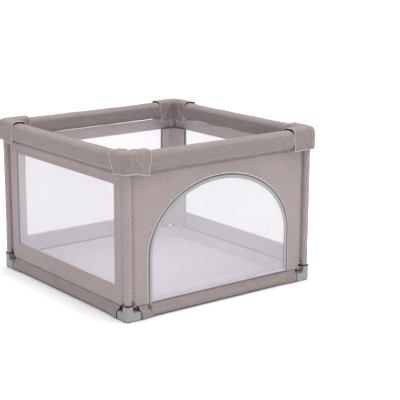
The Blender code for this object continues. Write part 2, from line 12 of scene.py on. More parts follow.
import bmesh
import bpy
import numpy as np
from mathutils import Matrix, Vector


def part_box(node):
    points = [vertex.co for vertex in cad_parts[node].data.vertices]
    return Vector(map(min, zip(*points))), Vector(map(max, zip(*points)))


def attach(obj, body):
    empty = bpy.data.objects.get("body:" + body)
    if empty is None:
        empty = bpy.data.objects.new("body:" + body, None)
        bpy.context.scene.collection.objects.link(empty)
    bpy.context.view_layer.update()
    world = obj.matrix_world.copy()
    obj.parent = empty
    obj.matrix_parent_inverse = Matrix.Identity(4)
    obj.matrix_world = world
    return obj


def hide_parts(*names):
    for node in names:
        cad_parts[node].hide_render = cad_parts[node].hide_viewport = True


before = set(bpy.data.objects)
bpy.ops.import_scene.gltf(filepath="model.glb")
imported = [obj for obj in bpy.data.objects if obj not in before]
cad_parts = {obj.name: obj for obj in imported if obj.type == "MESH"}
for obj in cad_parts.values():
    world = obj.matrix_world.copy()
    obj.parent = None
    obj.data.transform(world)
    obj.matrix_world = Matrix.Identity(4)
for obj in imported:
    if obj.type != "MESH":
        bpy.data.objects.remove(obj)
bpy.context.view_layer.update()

TAU = 2 * math.pi
LOG = logging.getLogger("playpen")

Array = np.ndarray
Pairs = tuple[tuple[float, float], ...]
Object = bpy.types.Object


class Body(Enum):
    """The bodies of the frame that new pieces ride on."""

    PEN = "pen"
    DOOR = "door"


class Slot(Enum):
    """The record's material slots; no piece is given one in this script."""

    HEATHER = "heather_cloth"
    WALL = "wall_cloth"
    NET = "window_mesh"
    ZIP = "zip_tape"
    FLOOR = "floor_cloth"
    ELASTIC = "black_elastic"


# ---- Sizes, read from the frame ----


@dataclass(frozen=True)
class Corner:
    """A corner of the pen. Its own axes run along the two walls, with the post at the origin.

    Attributes:
        name: the corner's name in the frame.
        turn: quarter turns from the front left corner.
        x, y: where its post stands.
    """

    name: str
    turn: int
    x: float
    y: float

    def to_world(self, points: Array) -> Array:
        """Turns points of the corner's own axes by its quarter turns and moves them to its post."""
        return quarter_turns(points, self.turn) + np.array([self.x, self.y, 0.0])

    def turned(self, ways: Array) -> Array:
        """Turns directions of the corner's own axes into the pen's."""
        return quarter_turns(ways, self.turn)


@dataclass(frozen=True)
class Side:
    """A side of the pen: x runs along it, -y points out and y = 0 is the plane of the posts.

    Attributes:
        name: the side's name in the frame.
        turn: quarter turns from the front side.
        out: distance from the pen's middle to the plane of the side's posts.
        half: half the distance between its posts.
    """

    name: str
    turn: int
    out: float
    half: float

    def to_world(self, points: Array) -> Array:
        """Moves points out to the side's plane and turns them by its quarter turns."""
        return quarter_turns(points + np.array([0.0, -self.out, 0.0]), self.turn)

    def place(self, x: Array | float, y: Array | float, z: Array | float) -> Array:
        """The points at x, y and z of the side's own axes, in the pen's."""
        return self.to_world(np.stack(np.broadcast_arrays(x, y, z), axis=-1))

    def outward(self) -> Array:
        """The way out of the pen through the side."""
        return quarter_turns(np.array([0.0, -1.0, 0.0]), self.turn)


def quarter_turns(points: Array, turns: int) -> Array:
    """Turns points about the vertical axis, counterclockwise seen from above.

    Args:
        points: an array whose last axis holds x, y and z.
        turns: how many quarter turns.

    Returns:
        The turned points: each turn takes (x, y) to (-y, x).
    """
    cos, sin = ((1, 0), (0, 1), (-1, 0), (0, -1))[turns % 4]
    x, y, z = points[..., 0], points[..., 1], points[..., 2]
    return np.stack([cos * x - sin * y, sin * x + cos * y, z], axis=-1)


def middle(node: str) -> Vector:
    """The middle of a node's box."""
    low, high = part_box(node)
    return (low + high) / 2


MESH_LAP = 0.012  # how far a window's net reaches behind the wall in the frame
GAP = 0.0003  # play between the zip and the wall's opening in the frame
GAP_TO_PAD = 0.001  # play between two rail pads' ends under a cap
DOOR_SPRING = 0.250  # height where the door's straight legs turn into its arch
POST = middle("post_front_right")
POST_X, POST_Y = POST.x, -POST.y
CORNERS = tuple(
    Corner(name, turn, x * POST_X, y * POST_Y)
    for turn, (name, x, y) in enumerate(
        (("front_left", -1, -1), ("front_right", 1, -1), ("back_right", 1, 1), ("back_left", -1, 1))
    )
)
SIDES = tuple(
    Side(name, turn, POST_Y if turn % 2 == 0 else POST_X, POST_X if turn % 2 == 0 else POST_Y)
    for turn, name in enumerate(("front", "right", "back", "left"))
)
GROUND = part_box("foot_grip_front_left")[0].z
PAD_LOW, PAD_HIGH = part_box("rail_pad_front")[0].z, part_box("rail_pad_front")[1].z
PAD_HALF = (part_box("rail_pad_front")[1].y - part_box("rail_pad_front")[0].y) / 2
CAP_LOW, CAP_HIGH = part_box("corner_cap_front_left")[0].z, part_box("corner_cap_front_left")[1].z
CAP_HALF = -POST_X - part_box("corner_cap_front_left")[0].x
SEAM_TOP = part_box("bottom_sleeve_front")[1].z
TUBE_HEIGHT = middle("bottom_rail_front").z
BAND_RADIUS = middle("bottom_sleeve_front").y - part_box("bottom_sleeve_front")[0].y
BAND_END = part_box("bottom_sleeve_front")[1].x
SLEEVE_RADIUS = POST_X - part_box("post_sleeve_front_right")[0].x
SOCKET_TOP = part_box("foot_front_right")[1].z
FOOT_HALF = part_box("foot_front_right")[1].x - POST_X
WALL_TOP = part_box("wall_right")[1].z
WALL_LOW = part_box("wall_right")[0].z
WINDOW_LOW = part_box("window_mesh_right")[0].z + MESH_LAP
WINDOW_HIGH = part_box("window_mesh_right")[1].z - MESH_LAP
WINDOW_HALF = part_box("window_mesh_right")[1].y - MESH_LAP
DOOR_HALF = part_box("zip_tape_wall")[1].x + GAP
DOOR_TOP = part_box("zip_tape_wall")[1].z + GAP
DOOR_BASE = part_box("door_border")[0].z
SLIDER_X = middle("zip_slider").x


# ---- Surfaces ----


def waves(points: Array, seed: int, shortest: float, longest: float, count: int = 28) -> Array:
    """Soft unevenness over space, about -1 to 1.

    Formula: the sum of sines of 2 pi p.d / l + phase, one for each wave with its own random
    direction d, length l and phase, divided by the square root of half their number.

    Args:
        points: an array whose last axis holds x, y and z.
        seed: picks the waves.
        shortest, longest: the range of the waves' lengths.
        count: how many waves.

    Returns:
        One value for each point.
    """
    rng = np.random.default_rng(seed)
    direction = rng.normal(size=(count, 3))
    direction /= np.linalg.norm(direction, axis=1, keepdims=True)
    rate = direction * (TAU / rng.uniform(shortest, longest, size=(count, 1)))
    return np.sin(points @ rate.T + rng.uniform(0, TAU, count)).sum(-1) / math.sqrt(2 * count)


def facing(grid: Array) -> Array:
    """The unit normals of a grid of points: the cross product of its two directions."""
    normal = np.cross(np.gradient(grid, axis=0), np.gradient(grid, axis=1))
    return normal / (np.linalg.norm(normal, axis=-1, keepdims=True) + 1e-12)


def smooth_step(value: Array, start: float, end: float) -> Array:
    """0 before start, 1 after end, and 3t^2 - 2t^3 between."""
    t = np.clip((value - start) / (end - start), 0, 1)
    return t * t * (3 - 2 * t)


def bump(value: Array, centre: float, width: float) -> Array:
    """A bell round centre: e to the power of -((value - centre) / width)^2."""
    return np.exp(-(((value - centre) / width) ** 2))


def rounded_box(angle: Array, squareness: float) -> tuple[Array, Array]:
    """A box with soft corners, 1 to each side: sign(cos a)|cos a|^(2/n) and sign(sin a)|sin a|^(2/n)."""
    cos, sin, power = np.cos(angle), np.sin(angle), 2 / squareness
    return np.sign(cos) * np.abs(cos) ** power, np.sign(sin) * np.abs(sin) ** power


def ring_angles(count: int) -> Array:
    """Even angles round a circle, its start not repeated."""
    return np.arange(count) / count * TAU


def along(points: Array, count: int) -> Array:
    """Points at even steps along a line of points, its ends included.

    Args:
        points: the line, n by 2 or n by 3.
        count: how many points to give.

    Returns:
        The points.
    """
    length = np.concatenate([[0], np.cumsum(np.linalg.norm(np.diff(points, axis=0), axis=1))])
    steps = np.linspace(0, length[-1], count)
    return np.stack([np.interp(steps, length, points[:, k]) for k in range(points.shape[1])], axis=1)


def line_length(points: Array) -> float:
    """The length of a line of points."""
    return float(np.linalg.norm(np.diff(points, axis=0), axis=1).sum())


def new_object(name: str, vertices: Array, faces: Array | list) -> Object:
    """An object at the origin with a smooth-shaded mesh.

    Args:
        name: its name.
        vertices: its points.
        faces: its faces, as point numbers.

    Returns:
        The object, in the scene.
    """
    mesh = bpy.data.meshes.new(name)
    if not isinstance(faces, list):
        faces = faces.tolist()
    mesh.from_pydata(vertices.reshape(-1, 3).tolist(), [], faces)
    mesh.shade_smooth()
    item = bpy.data.objects.new(name, mesh)
    bpy.context.scene.collection.objects.link(item)
    return item


def grid_faces(rows: int, columns: int, ring: bool) -> Array:
    """The quads of a grid of points; a ring joins its last column to its first.

    Args:
        rows, columns: the grid's size.
        ring: whether the columns close on themselves.

    Returns:
        The quads, as point numbers.
    """
    index = np.arange(rows * columns).reshape(rows, columns)
    right = np.roll(index, -1, axis=1)
    last = columns if ring else columns - 1
    quads = np.stack([index[:-1], index[1:], right[1:], right[:-1]], axis=-1)
    return quads[:, :last].reshape(-1, 4)


def surface(name: str, grid: Array, ring: bool = False, ends: tuple[bool, bool] = (False, False)) -> Object:
    """A mesh over a grid of points, with a UV map in metres along its two directions.

    Args:
        name: the object's name.
        grid: rows by columns by 3 points.
        ring: the columns close on themselves, as round a tube.
        ends: whether the first and the last row are closed by a fan round their middle.

    Returns:
        The object.
    """
    rows, columns = grid.shape[:2]
    vertices = grid.reshape(-1, 3)
    faces = grid_faces(rows, columns, ring).tolist()
    ring_index = np.arange(columns)
    for row, closed in ((0, ends[0]), (rows - 1, ends[1])):
        if closed:
            centre = np.full(columns, len(vertices))
            first, second = row * columns + ring_index, row * columns + np.roll(ring_index, -1)
            faces += np.stack([centre, second, first] if row else [centre, first, second], axis=-1).tolist()
            vertices = np.concatenate([vertices, grid[row].mean(0, keepdims=True)])
    item = new_object(name, vertices, faces)
    steps_u = np.linalg.norm(np.diff(grid, axis=0), axis=-1).mean(1)
    steps_v = np.linalg.norm(np.diff(grid, axis=1), axis=-1).mean(0)
    u = np.concatenate([[0], np.cumsum(steps_u)])
    v = np.concatenate([[0], np.cumsum(steps_v)])
    place = np.stack(np.meshgrid(u, v, indexing="ij"), axis=-1).reshape(-1, 2)
    place = np.concatenate([place, np.zeros((len(vertices) - len(place), 2))])
    loops = np.zeros(len(item.data.loops), np.int32)
    item.data.loops.foreach_get("vertex_index", loops)
    item.data.uv_layers.new(name="cloth").data.foreach_set("uv", place[loops].ravel())
    return item


def face_out(item: Object) -> Object:
    """Turns a closed mesh's faces outwards.

    Args:
        item: the piece.

    Returns:
        The same piece.
    """
    work = bmesh.new()
    work.from_mesh(item.data)
    bmesh.ops.recalc_face_normals(work, faces=work.faces)
    work.to_mesh(item.data)
    work.free()
    return item


def thicken(item: Object, thickness: float, offset: float = 0.0) -> Object:
    """Gives an open sheet its thickness; offset 0 grows it to both sides.

    Args:
        item: the piece.
        thickness: the cloth's.
        offset: -1 grows it inwards, 0 to both sides.

    Returns:
        The same piece.
    """
    wall = item.modifiers.new("Cloth thickness", "SOLIDIFY")
    wall.thickness = thickness
    wall.offset = offset
    return item


def face_towards(item: Object, way: Array) -> Object:
    """Turns an open sheet's faces over if they look away from the given way.

    Args:
        item: the piece.
        way: a direction.

    Returns:
        The same piece.
    """
    normals = np.zeros(len(item.data.polygons) * 3, np.float32)
    item.data.polygons.foreach_get("normal", normals)
    if float((normals.reshape(-1, 3) @ way).sum()) < 0:
        item.data.flip_normals()
    return item


def line_inside(item: Object, finish: str) -> Object:
    """Gives the inner face of a thickened sheet its own finish.

    Args:
        item: the piece.
        finish: the inner face's finish.

    Returns:
        The same piece.
    """
    item.data.materials.append(MATERIALS[finish])
    item.modifiers["Cloth thickness"].material_offset = 1
    return item


def cord_along(
    name: str, path: Array, side: Array, radius: float | Array, loop: bool, sides: int = 8
) -> Object:
    """A round cord, such as a piping, along a line of points.

    Formula: each ring is path + radius * (cos a * s + sin a * (t x s)), where t is the line's
    direction and s is the given side, made square to t.

    Args:
        name: the object's name.
        path: n by 3 points.
        side: n by 3 directions, none of them along the line.
        radius: the cord's radius, or one for each point.
        loop: the line closes on itself.
        sides: points of a ring.

    Returns:
        The object.
    """
    if loop:
        tangent = np.roll(path, -1, axis=0) - np.roll(path, 1, axis=0)
    else:
        tangent = np.gradient(path, axis=0)
    tangent = tangent / (np.linalg.norm(tangent, axis=1, keepdims=True) + 1e-12)
    side = side - (side * tangent).sum(1, keepdims=True) * tangent
    side = side / (np.linalg.norm(side, axis=1, keepdims=True) + 1e-12)
    other = np.cross(tangent, side)
    angle = ring_angles(sides)
    reach = np.broadcast_to(np.asarray(radius, float), (len(path),))[:, None, None]
    ring = np.cos(angle)[None, :, None] * side[:, None] + np.sin(angle)[None, :, None] * other[:, None]
    grid = path[:, None] + reach * ring
    if loop:
        grid = np.concatenate([grid, grid[:1]])
    item = surface(name, grid, ring=True, ends=(not loop, not loop))
    if loop:
        merge(item)
    return face_out(item)


def merge(item: Object) -> Object:
    """Joins a mesh's double points, within a thousandth of a millimetre.

    Args:
        item: the piece.

    Returns:
        The same piece.
    """
    work = bmesh.new()
    work.from_mesh(item.data)
    bmesh.ops.remove_doubles(work, verts=work.verts, dist=1e-6)
    work.to_mesh(item.data)
    work.free()
    return item


def repeat(name: str, corners: Array, faces: list, places: Array, axes: Array) -> Object:
    """Many copies of one small shape in one mesh.

    Formula: each copy's corners are place + corners @ axes, with axes three directions as rows.

    Args:
        name: the object's name.
        corners: k by 3 points of the small shape, in its own axes.
        faces: its faces, as lists of corner numbers.
        places: n by 3 places.
        axes: n by 3 by 3 directions of the shape's own x, y and z.

    Returns:
        The object.
    """
    vertices = places[:, None] + np.einsum("kc,ncd->nkd", corners, axes)
    shift = np.arange(len(places)) * len(corners)
    copies = [face for face_shape in faces for face in (np.array(face_shape) + shift[:, None]).tolist()]
    return new_object(name, vertices, copies)


SPINDLE = np.array([[1, 0, 0], [-1, 0, 0], [0, 1, 0], [0, -1, 0], [0, 0, 1], [0, 0, -1]], float)
SPINDLE_FACES = [[0, 2, 4], [2, 1, 4], [1, 3, 4], [3, 0, 4], [2, 0, 5], [1, 2, 5], [3, 1, 5], [0, 3, 5]]
BLOCK_CORNERS = np.array([[x, y, z] for x in (-1, 1) for y in (-1, 1) for z in (-1, 1)], float)
BLOCK_FACES = [[0, 1, 3, 2], [4, 6, 7, 5], [0, 4, 5, 1], [2, 3, 7, 6], [0, 2, 6, 4], [1, 5, 7, 3]]


def line_axes(path: Array, out: Array) -> Array:
    """For each point of a line: its direction, the way across it, and out, as three rows.

    Args:
        path: n by 3 points.
        out: the way that the cloth faces, one direction or one for each point.

    Returns:
        n by 3 by 3 directions.
    """
    tangent = np.gradient(path, axis=0)
    tangent /= np.linalg.norm(tangent, axis=1, keepdims=True) + 1e-12
    out = np.broadcast_to(out, path.shape)
    across = np.cross(out, tangent)
    across /= np.linalg.norm(across, axis=1, keepdims=True) + 1e-12
    return np.stack([tangent, across, np.cross(tangent, across)], axis=1)


def stitches(name: str, path: Array, out: Array, lift: float = 0.0002) -> Object:
    """A row of thread stitches along a line: a small spindle every 4.2 mm.

    Args:
        name: the object's name.
        path: n by 3 points on the cloth.
        out: the way that the cloth faces, one direction or one for each point.
        lift: how far the thread's middle stands over the line.

    Returns:
        The object.
    """
    count = max(int(line_length(path) / 0.0042), 2)
    spots = along(path, count)
    if np.ndim(out) == 2:
        out = along_values(path, out, count)
    axes = line_axes(spots, out)
    size = np.array([0.0016, 0.00042, 0.00042])
    return repeat(name, SPINDLE * size, SPINDLE_FACES, spots + lift * axes[:, 2], axes)


def along_values(path: Array, values: Array, count: int) -> Array:
    """Values that belong to a line's points, read at even steps along it.

    Args:
        path: n by 3 points.
        values: one row for each point.
        count: how many rows to give.

    Returns:
        The rows.
    """
    length = np.concatenate([[0], np.cumsum(np.linalg.norm(np.diff(path, axis=0), axis=1))])
    steps = np.linspace(0, length[-1], count)
    return np.stack([np.interp(steps, length, values[:, k]) for k in range(values.shape[1])], axis=1)


# ---- Finishes ----


class Nodes:
    """A node tree with short ways to add nodes and to join them."""

    def __init__(self, tree: bpy.types.NodeTree) -> None:
        """Takes the tree that the nodes go in."""
        self.tree = tree

    def add(self, kind: str, **inputs: object) -> bpy.types.Node:
        """Adds a node.

        Args:
            kind: the node's type, such as ShaderNodeMath.
            inputs: an attribute such as operation, or the value or source of an input, named by
                its label with _ for a space, or by in0, in1 and so on.

        Returns:
            The node.
        """
        node = self.tree.nodes.new(kind)
        for key, value in inputs.items():
            if hasattr(node, key) and not key.startswith("in"):
                setattr(node, key, value)
                continue
            socket = node.inputs[int(key[2:])] if key[2:].isdigit() else node.inputs[key.replace("_", " ")]
            if isinstance(value, bpy.types.NodeSocket):
                self.tree.links.new(value, socket)
            else:
                socket.default_value = value
        return node

    def math(self, operation: str, a: object, b: object = 0.0, c: object = 0.0) -> bpy.types.NodeSocket:
        """The value of a Math node."""
        return self.add("ShaderNodeMath", operation=operation, in0=a, in1=b, in2=c).outputs[0]

    def blend(self, factor: object, first: object, second: object) -> bpy.types.NodeSocket:
        """The colour between first and second."""
        node = self.add("ShaderNodeMix", data_type="RGBA", in0=factor, in6=first, in7=second)
        return node.outputs[2]

    def ramp(
        self, value: object, low: float, high: float, first: float, last: float
    ) -> bpy.types.NodeSocket:
        """value mapped from low..high to first..last, and held there outside."""
        node = self.add("ShaderNodeMapRange", in0=value, in1=low, in2=high, in3=first, in4=last)
        return node.outputs[0]

    def noise(self, vector: object, scale: float, detail: float = 3.0) -> bpy.types.NodeSocket:
        """The value of a noise texture, about 0.5."""
        return self.add("ShaderNodeTexNoise", Vector=vector, Scale=scale, Detail=detail).outputs[0]

    def stretched(self, vector: object, scale: tuple[float, float, float]) -> bpy.types.NodeSocket:
        """The vector with each axis multiplied."""
        return self.add("ShaderNodeMapping", Vector=vector, Scale=scale).outputs[0]


def new_group(
    name: str, inputs: dict[str, float | None], outputs: tuple[str, ...]
) -> tuple[Nodes, bpy.types.Node, bpy.types.Node]:
    """An empty node group.

    Args:
        name: the group's name.
        inputs: each input's name and default; None is a vector.
        outputs: the names of its values.

    Returns:
        The group's nodes, its input node and its output node.
    """
    tree = bpy.data.node_groups.new(name, "ShaderNodeTree")
    for label, default in inputs.items():
        kind = "NodeSocketVector" if default is None else "NodeSocketFloat"
        socket = tree.interface.new_socket(name=label, in_out="INPUT", socket_type=kind)
        if default is not None:
            socket.default_value = default
    for label in outputs:
        tree.interface.new_socket(name=label, in_out="OUTPUT", socket_type="NodeSocketFloat")
    nodes = Nodes(tree)
    return nodes, nodes.add("NodeGroupInput"), nodes.add("NodeGroupOutput")


def weave_group() -> bpy.types.NodeTree:
    """Woven threads: the sum of sines along x, y and z, so that every flat piece shows two of them.

    Returns:
        The group.
    """
    nodes, start, end = new_group("woven threads", {"Vector": None, "Pitch": 0.001}, ("Height",))
    parts = nodes.add("ShaderNodeSeparateXYZ", in0=start.outputs["Vector"])
    rate = nodes.math("DIVIDE", TAU, start.outputs["Pitch"])
    x, y, z = (nodes.math("SINE", nodes.math("MULTIPLY", axis, rate)) for axis in parts.outputs)
    total = nodes.math("ADD", nodes.math("ADD", x, y), z)
    nodes.tree.links.new(nodes.math("MULTIPLY_ADD", total, 1 / 6, 0.5), end.inputs["Height"])
    return nodes.tree


def fleck_group() -> bpy.types.NodeTree:
    """Heathered yarn: two noises, one drawn out level and one drawn out upright, with slubs.

    Returns:
        The group.
    """
    nodes, start, end = new_group("heathered yarn", {"Vector": None, "Density": 420.0}, ("Fleck", "Slub"))
    place = nodes.add("ShaderNodeVectorMath", operation="SCALE", in0=start.outputs["Vector"])
    nodes.tree.links.new(start.outputs["Density"], place.inputs["Scale"])
    level = nodes.noise(nodes.stretched(place.outputs[0], (0.35, 0.35, 2.2)), 1.0)
    upright = nodes.noise(nodes.stretched(place.outputs[0], (1.9, 1.9, 0.30)), 1.0)
    fleck = nodes.ramp(nodes.math("ADD", level, upright), 0.72, 1.28, 0.0, 1.0)
    slub = nodes.noise(nodes.stretched(place.outputs[0], (0.08, 0.08, 0.6)), 1.0, 1.0)
    nodes.tree.links.new(fleck, end.inputs["Fleck"])
    nodes.tree.links.new(nodes.ramp(slub, 0.35, 0.65, 0.0, 1.0), end.inputs["Slub"])
    return nodes.tree


def handling_group() -> bpy.types.NodeTree:
    """Wear: broad soft patches, and scuffs that grow towards the ground.

    Returns:
        The group.
    """
    nodes, start, end = new_group("handling", {"Vector": None, "Reach": 0.06}, ("Patch", "Scuff"))
    patch = nodes.ramp(nodes.noise(start.outputs["Vector"], 5.0, 2.0), 0.35, 0.65, 0.0, 1.0)
    parts = nodes.add("ShaderNodeSeparateXYZ", in0=start.outputs["Vector"])
    low = nodes.math("SUBTRACT", 1.0, nodes.math("DIVIDE", parts.outputs[2], start.outputs["Reach"]))
    streak = nodes.noise(nodes.stretched(start.outputs["Vector"], (1, 1, 3)), 110.0, 4.0)
    worn = nodes.ramp(streak, 0.5, 0.72, 0.0, 1.0)
    scuff = nodes.math("MULTIPLY", nodes.ramp(low, 0.0, 1.0, 0.0, 1.0), worn)
    nodes.tree.links.new(patch, end.inputs["Patch"])
    nodes.tree.links.new(scuff, end.inputs["Scuff"])
    return nodes.tree


def grain_group() -> bpy.types.NodeTree:
    """Moulded grain: a fine pebble and a few deeper pits.

    Returns:
        The group.
    """
    nodes, start, end = new_group("moulded grain", {"Vector": None, "Density": 900.0}, ("Height", "Pit"))
    place = nodes.add("ShaderNodeVectorMath", operation="SCALE", in0=start.outputs["Vector"])
    nodes.tree.links.new(start.outputs["Density"], place.inputs["Scale"])
    pebble = nodes.noise(place.outputs[0], 1.0, 2.0)
    pit = nodes.ramp(nodes.noise(place.outputs[0], 0.23, 1.0), 0.62, 0.75, 0.0, 1.0)
    nodes.tree.links.new(pebble, end.inputs["Height"])
    nodes.tree.links.new(pit, end.inputs["Pit"])
    return nodes.tree


GROUPS = {
    "weave": weave_group(),
    "fleck": fleck_group(),
    "handling": handling_group(),
    "grain": grain_group(),
}
Colour = tuple[float, float, float]


def new_shader(name: str, **sockets: float) -> tuple[bpy.types.Material, Nodes, bpy.types.Node]:
    """A material, its nodes and its Principled shader, with constants set on the shader's own sockets.

    Args:
        name: the material's name.
        sockets: the constants, with _ for a space.

    Returns:
        The material, its nodes and its shader.
    """
    material = bpy.data.materials.new(name)
    material.use_nodes = True
    shader = material.node_tree.nodes["Principled BSDF"]
    for label, value in sockets.items():
        shader.inputs[label.replace("_", " ")].default_value = value
    return material, Nodes(material.node_tree), shader


def place_group(nodes: Nodes, group: str, **inputs: object) -> bpy.types.Node:
    """Places a shared group in a material, fed by Object coordinates.

    Args:
        nodes: the material's nodes.
        group: the group's key.
        inputs: its other values.

    Returns:
        The group's node.
    """
    node = nodes.add("ShaderNodeGroup", node_tree=GROUPS[group])
    where = nodes.add("ShaderNodeTexCoord").outputs["Object"]
    nodes.tree.links.new(where, node.inputs["Vector"])
    for label, value in inputs.items():
        node.inputs[label].default_value = value
    return node


def join(nodes: Nodes, shader: bpy.types.Node, **sources: bpy.types.NodeSocket) -> None:
    """Feeds the shader's inputs from the given sources."""
    for label, source in sources.items():
        nodes.tree.links.new(source, shader.inputs[label.replace("_", " ")])


def relief(nodes: Nodes, height: object, distance: float, strength: float = 1.0) -> bpy.types.NodeSocket:
    """The normal of a bump of that distance."""
    return nodes.add("ShaderNodeBump", Height=height, Distance=distance, Strength=strength).outputs[0]


@dataclass(frozen=True)
class Cloth:
    """A woven cloth of two yarn colours, with slubs, wear and a soft sheen.

    Attributes:
        name: the finish's name.
        light, dark: the yarns' colours.
        pitch: distance between threads.
        density: how fine the flecks are.
        contrast: how far the flecks differ.
        roughness: the middle roughness.
        sheen: the weight of the fibres' sheen.
        relief: the height of the threads.
    """

    name: str
    light: Colour
    dark: Colour
    pitch: float = 0.0011
    density: float = 420.0
    contrast: float = 1.0
    roughness: float = 0.88
    sheen: float = 0.25
    relief: float = 0.00022

    def build(self) -> bpy.types.Material:
        """The material.

        Returns:
            The material: flecks and slubs choose between the yarns, and threads make the relief.
        """
        material, nodes, shader = new_shader(self.name, Sheen_Weight=self.sheen, Sheen_Roughness=0.45)
        shader.inputs["Specular IOR Level"].default_value = 0.25
        fleck = place_group(nodes, "fleck", Density=self.density)
        weave = place_group(nodes, "weave", Pitch=self.pitch)
        wear = place_group(nodes, "handling", Reach=0.05)
        share = nodes.math("MULTIPLY", fleck.outputs["Fleck"], self.contrast)
        yarn = nodes.blend(share, (*self.dark, 1), (*self.light, 1))
        slub = tuple(0.5 * (a + b) * 1.06 for a, b in zip(self.light, self.dark))
        slubbed = nodes.blend(nodes.math("MULTIPLY", fleck.outputs["Slub"], 0.5), yarn, (*slub, 1))
        worn = tuple(0.86 * c for c in self.dark)
        used = nodes.blend(nodes.math("MULTIPLY", wear.outputs["Patch"], 0.10), slubbed, (*worn, 1))
        dusty = nodes.blend(nodes.math("MULTIPLY", wear.outputs["Scuff"], 0.30), used, (*worn, 1))
        rough = nodes.ramp(fleck.outputs["Fleck"], 0, 1, self.roughness - 0.06, self.roughness + 0.06)
        height = nodes.math("MULTIPLY_ADD", fleck.outputs["Fleck"], 0.45, weave.outputs["Height"])
        join(nodes, shader, Base_Color=dusty, Roughness=rough, Normal=relief(nodes, height, self.relief))
        return material


@dataclass(frozen=True)
class Net:
    """A fine see-through net: round holes between threads, read from the sheet's own UV map.

    Attributes:
        name: the finish's name.
        colour: the threads' colour.
        pitch: distance between holes.
        open_share: radius of a hole, as a share of the pitch.
    """

    name: str
    colour: Colour
    pitch: float = 0.0020
    open_share: float = 0.43

    def build(self) -> bpy.types.Material:
        """The material: a hole where the distance to the middle of its cell is under the radius.

        Returns:
            The material.
        """
        material, nodes, shader = new_shader(self.name, Sheen_Weight=0.15, Roughness=0.7)
        shader.inputs["Specular IOR Level"].default_value = 0.2
        place = nodes.add("ShaderNodeUVMap", uv_map="cloth").outputs[0]
        scaled = nodes.add("ShaderNodeVectorMath", operation="SCALE", in0=place)
        scaled.inputs["Scale"].default_value = 1 / self.pitch
        parts = nodes.add("ShaderNodeSeparateXYZ", in0=scaled.outputs[0])
        row = nodes.math("FLOOR", parts.outputs[1])
        shifted = nodes.math("MULTIPLY_ADD", nodes.math("MODULO", row, 2.0), 0.5, parts.outputs[0])
        u = nodes.math("SUBTRACT", nodes.math("FRACT", shifted), 0.5)
        v = nodes.math("SUBTRACT", nodes.math("FRACT", parts.outputs[1]), 0.5)
        squares = nodes.math("ADD", nodes.math("MULTIPLY", u, u), nodes.math("MULTIPLY", v, v))
        far = nodes.math("SQRT", squares)
        thread = nodes.ramp(far, self.open_share - 0.05, self.open_share + 0.05, 0.10, 0.95)
        uneven = nodes.noise(place, 14.0, 2.0)
        shade = tuple(0.93 * c for c in self.colour)
        colour = nodes.blend(uneven, (*self.colour, 1), (*shade, 1))
        join(nodes, shader, Base_Color=colour, Alpha=thread, Normal=relief(nodes, thread, 0.0002))
        return material


@dataclass(frozen=True)
class Moulding:
    """Moulded plastic, rubber or enamel with a fine grain, scuffed near the ground.

    Attributes:
        name: the finish's name.
        colour, scuffed: the colour, and the colour of its scuffs.
        roughness: the middle roughness.
        density: how fine the grain is.
        relief: the grain's height.
        metallic: the share of metal.
    """

    name: str
    colour: Colour
    scuffed: Colour
    roughness: float = 0.5
    density: float = 900.0
    relief: float = 0.00010
    metallic: float = 0.0

    def build(self) -> bpy.types.Material:
        """The material.

        Returns:
            The material: mottled colour with scuffs, and a pebbled relief.
        """
        material, nodes, shader = new_shader(self.name, Metallic=self.metallic)
        grain = place_group(nodes, "grain", Density=self.density)
        wear = place_group(nodes, "handling", Reach=0.05)
        deeper = tuple(0.9 * c for c in self.colour)
        mottled = nodes.blend(wear.outputs["Patch"], (*self.colour, 1), (*deeper, 1))
        worn = nodes.blend(nodes.math("MULTIPLY", wear.outputs["Scuff"], 0.22), mottled, (*self.scuffed, 1))
        rough = nodes.ramp(grain.outputs["Height"], 0.3, 0.7, self.roughness - 0.08, self.roughness + 0.08)
        height = nodes.math("MULTIPLY_ADD", grain.outputs["Pit"], -0.5, grain.outputs["Height"])
        join(nodes, shader, Base_Color=worn, Roughness=rough, Normal=relief(nodes, height, self.relief))
        return material


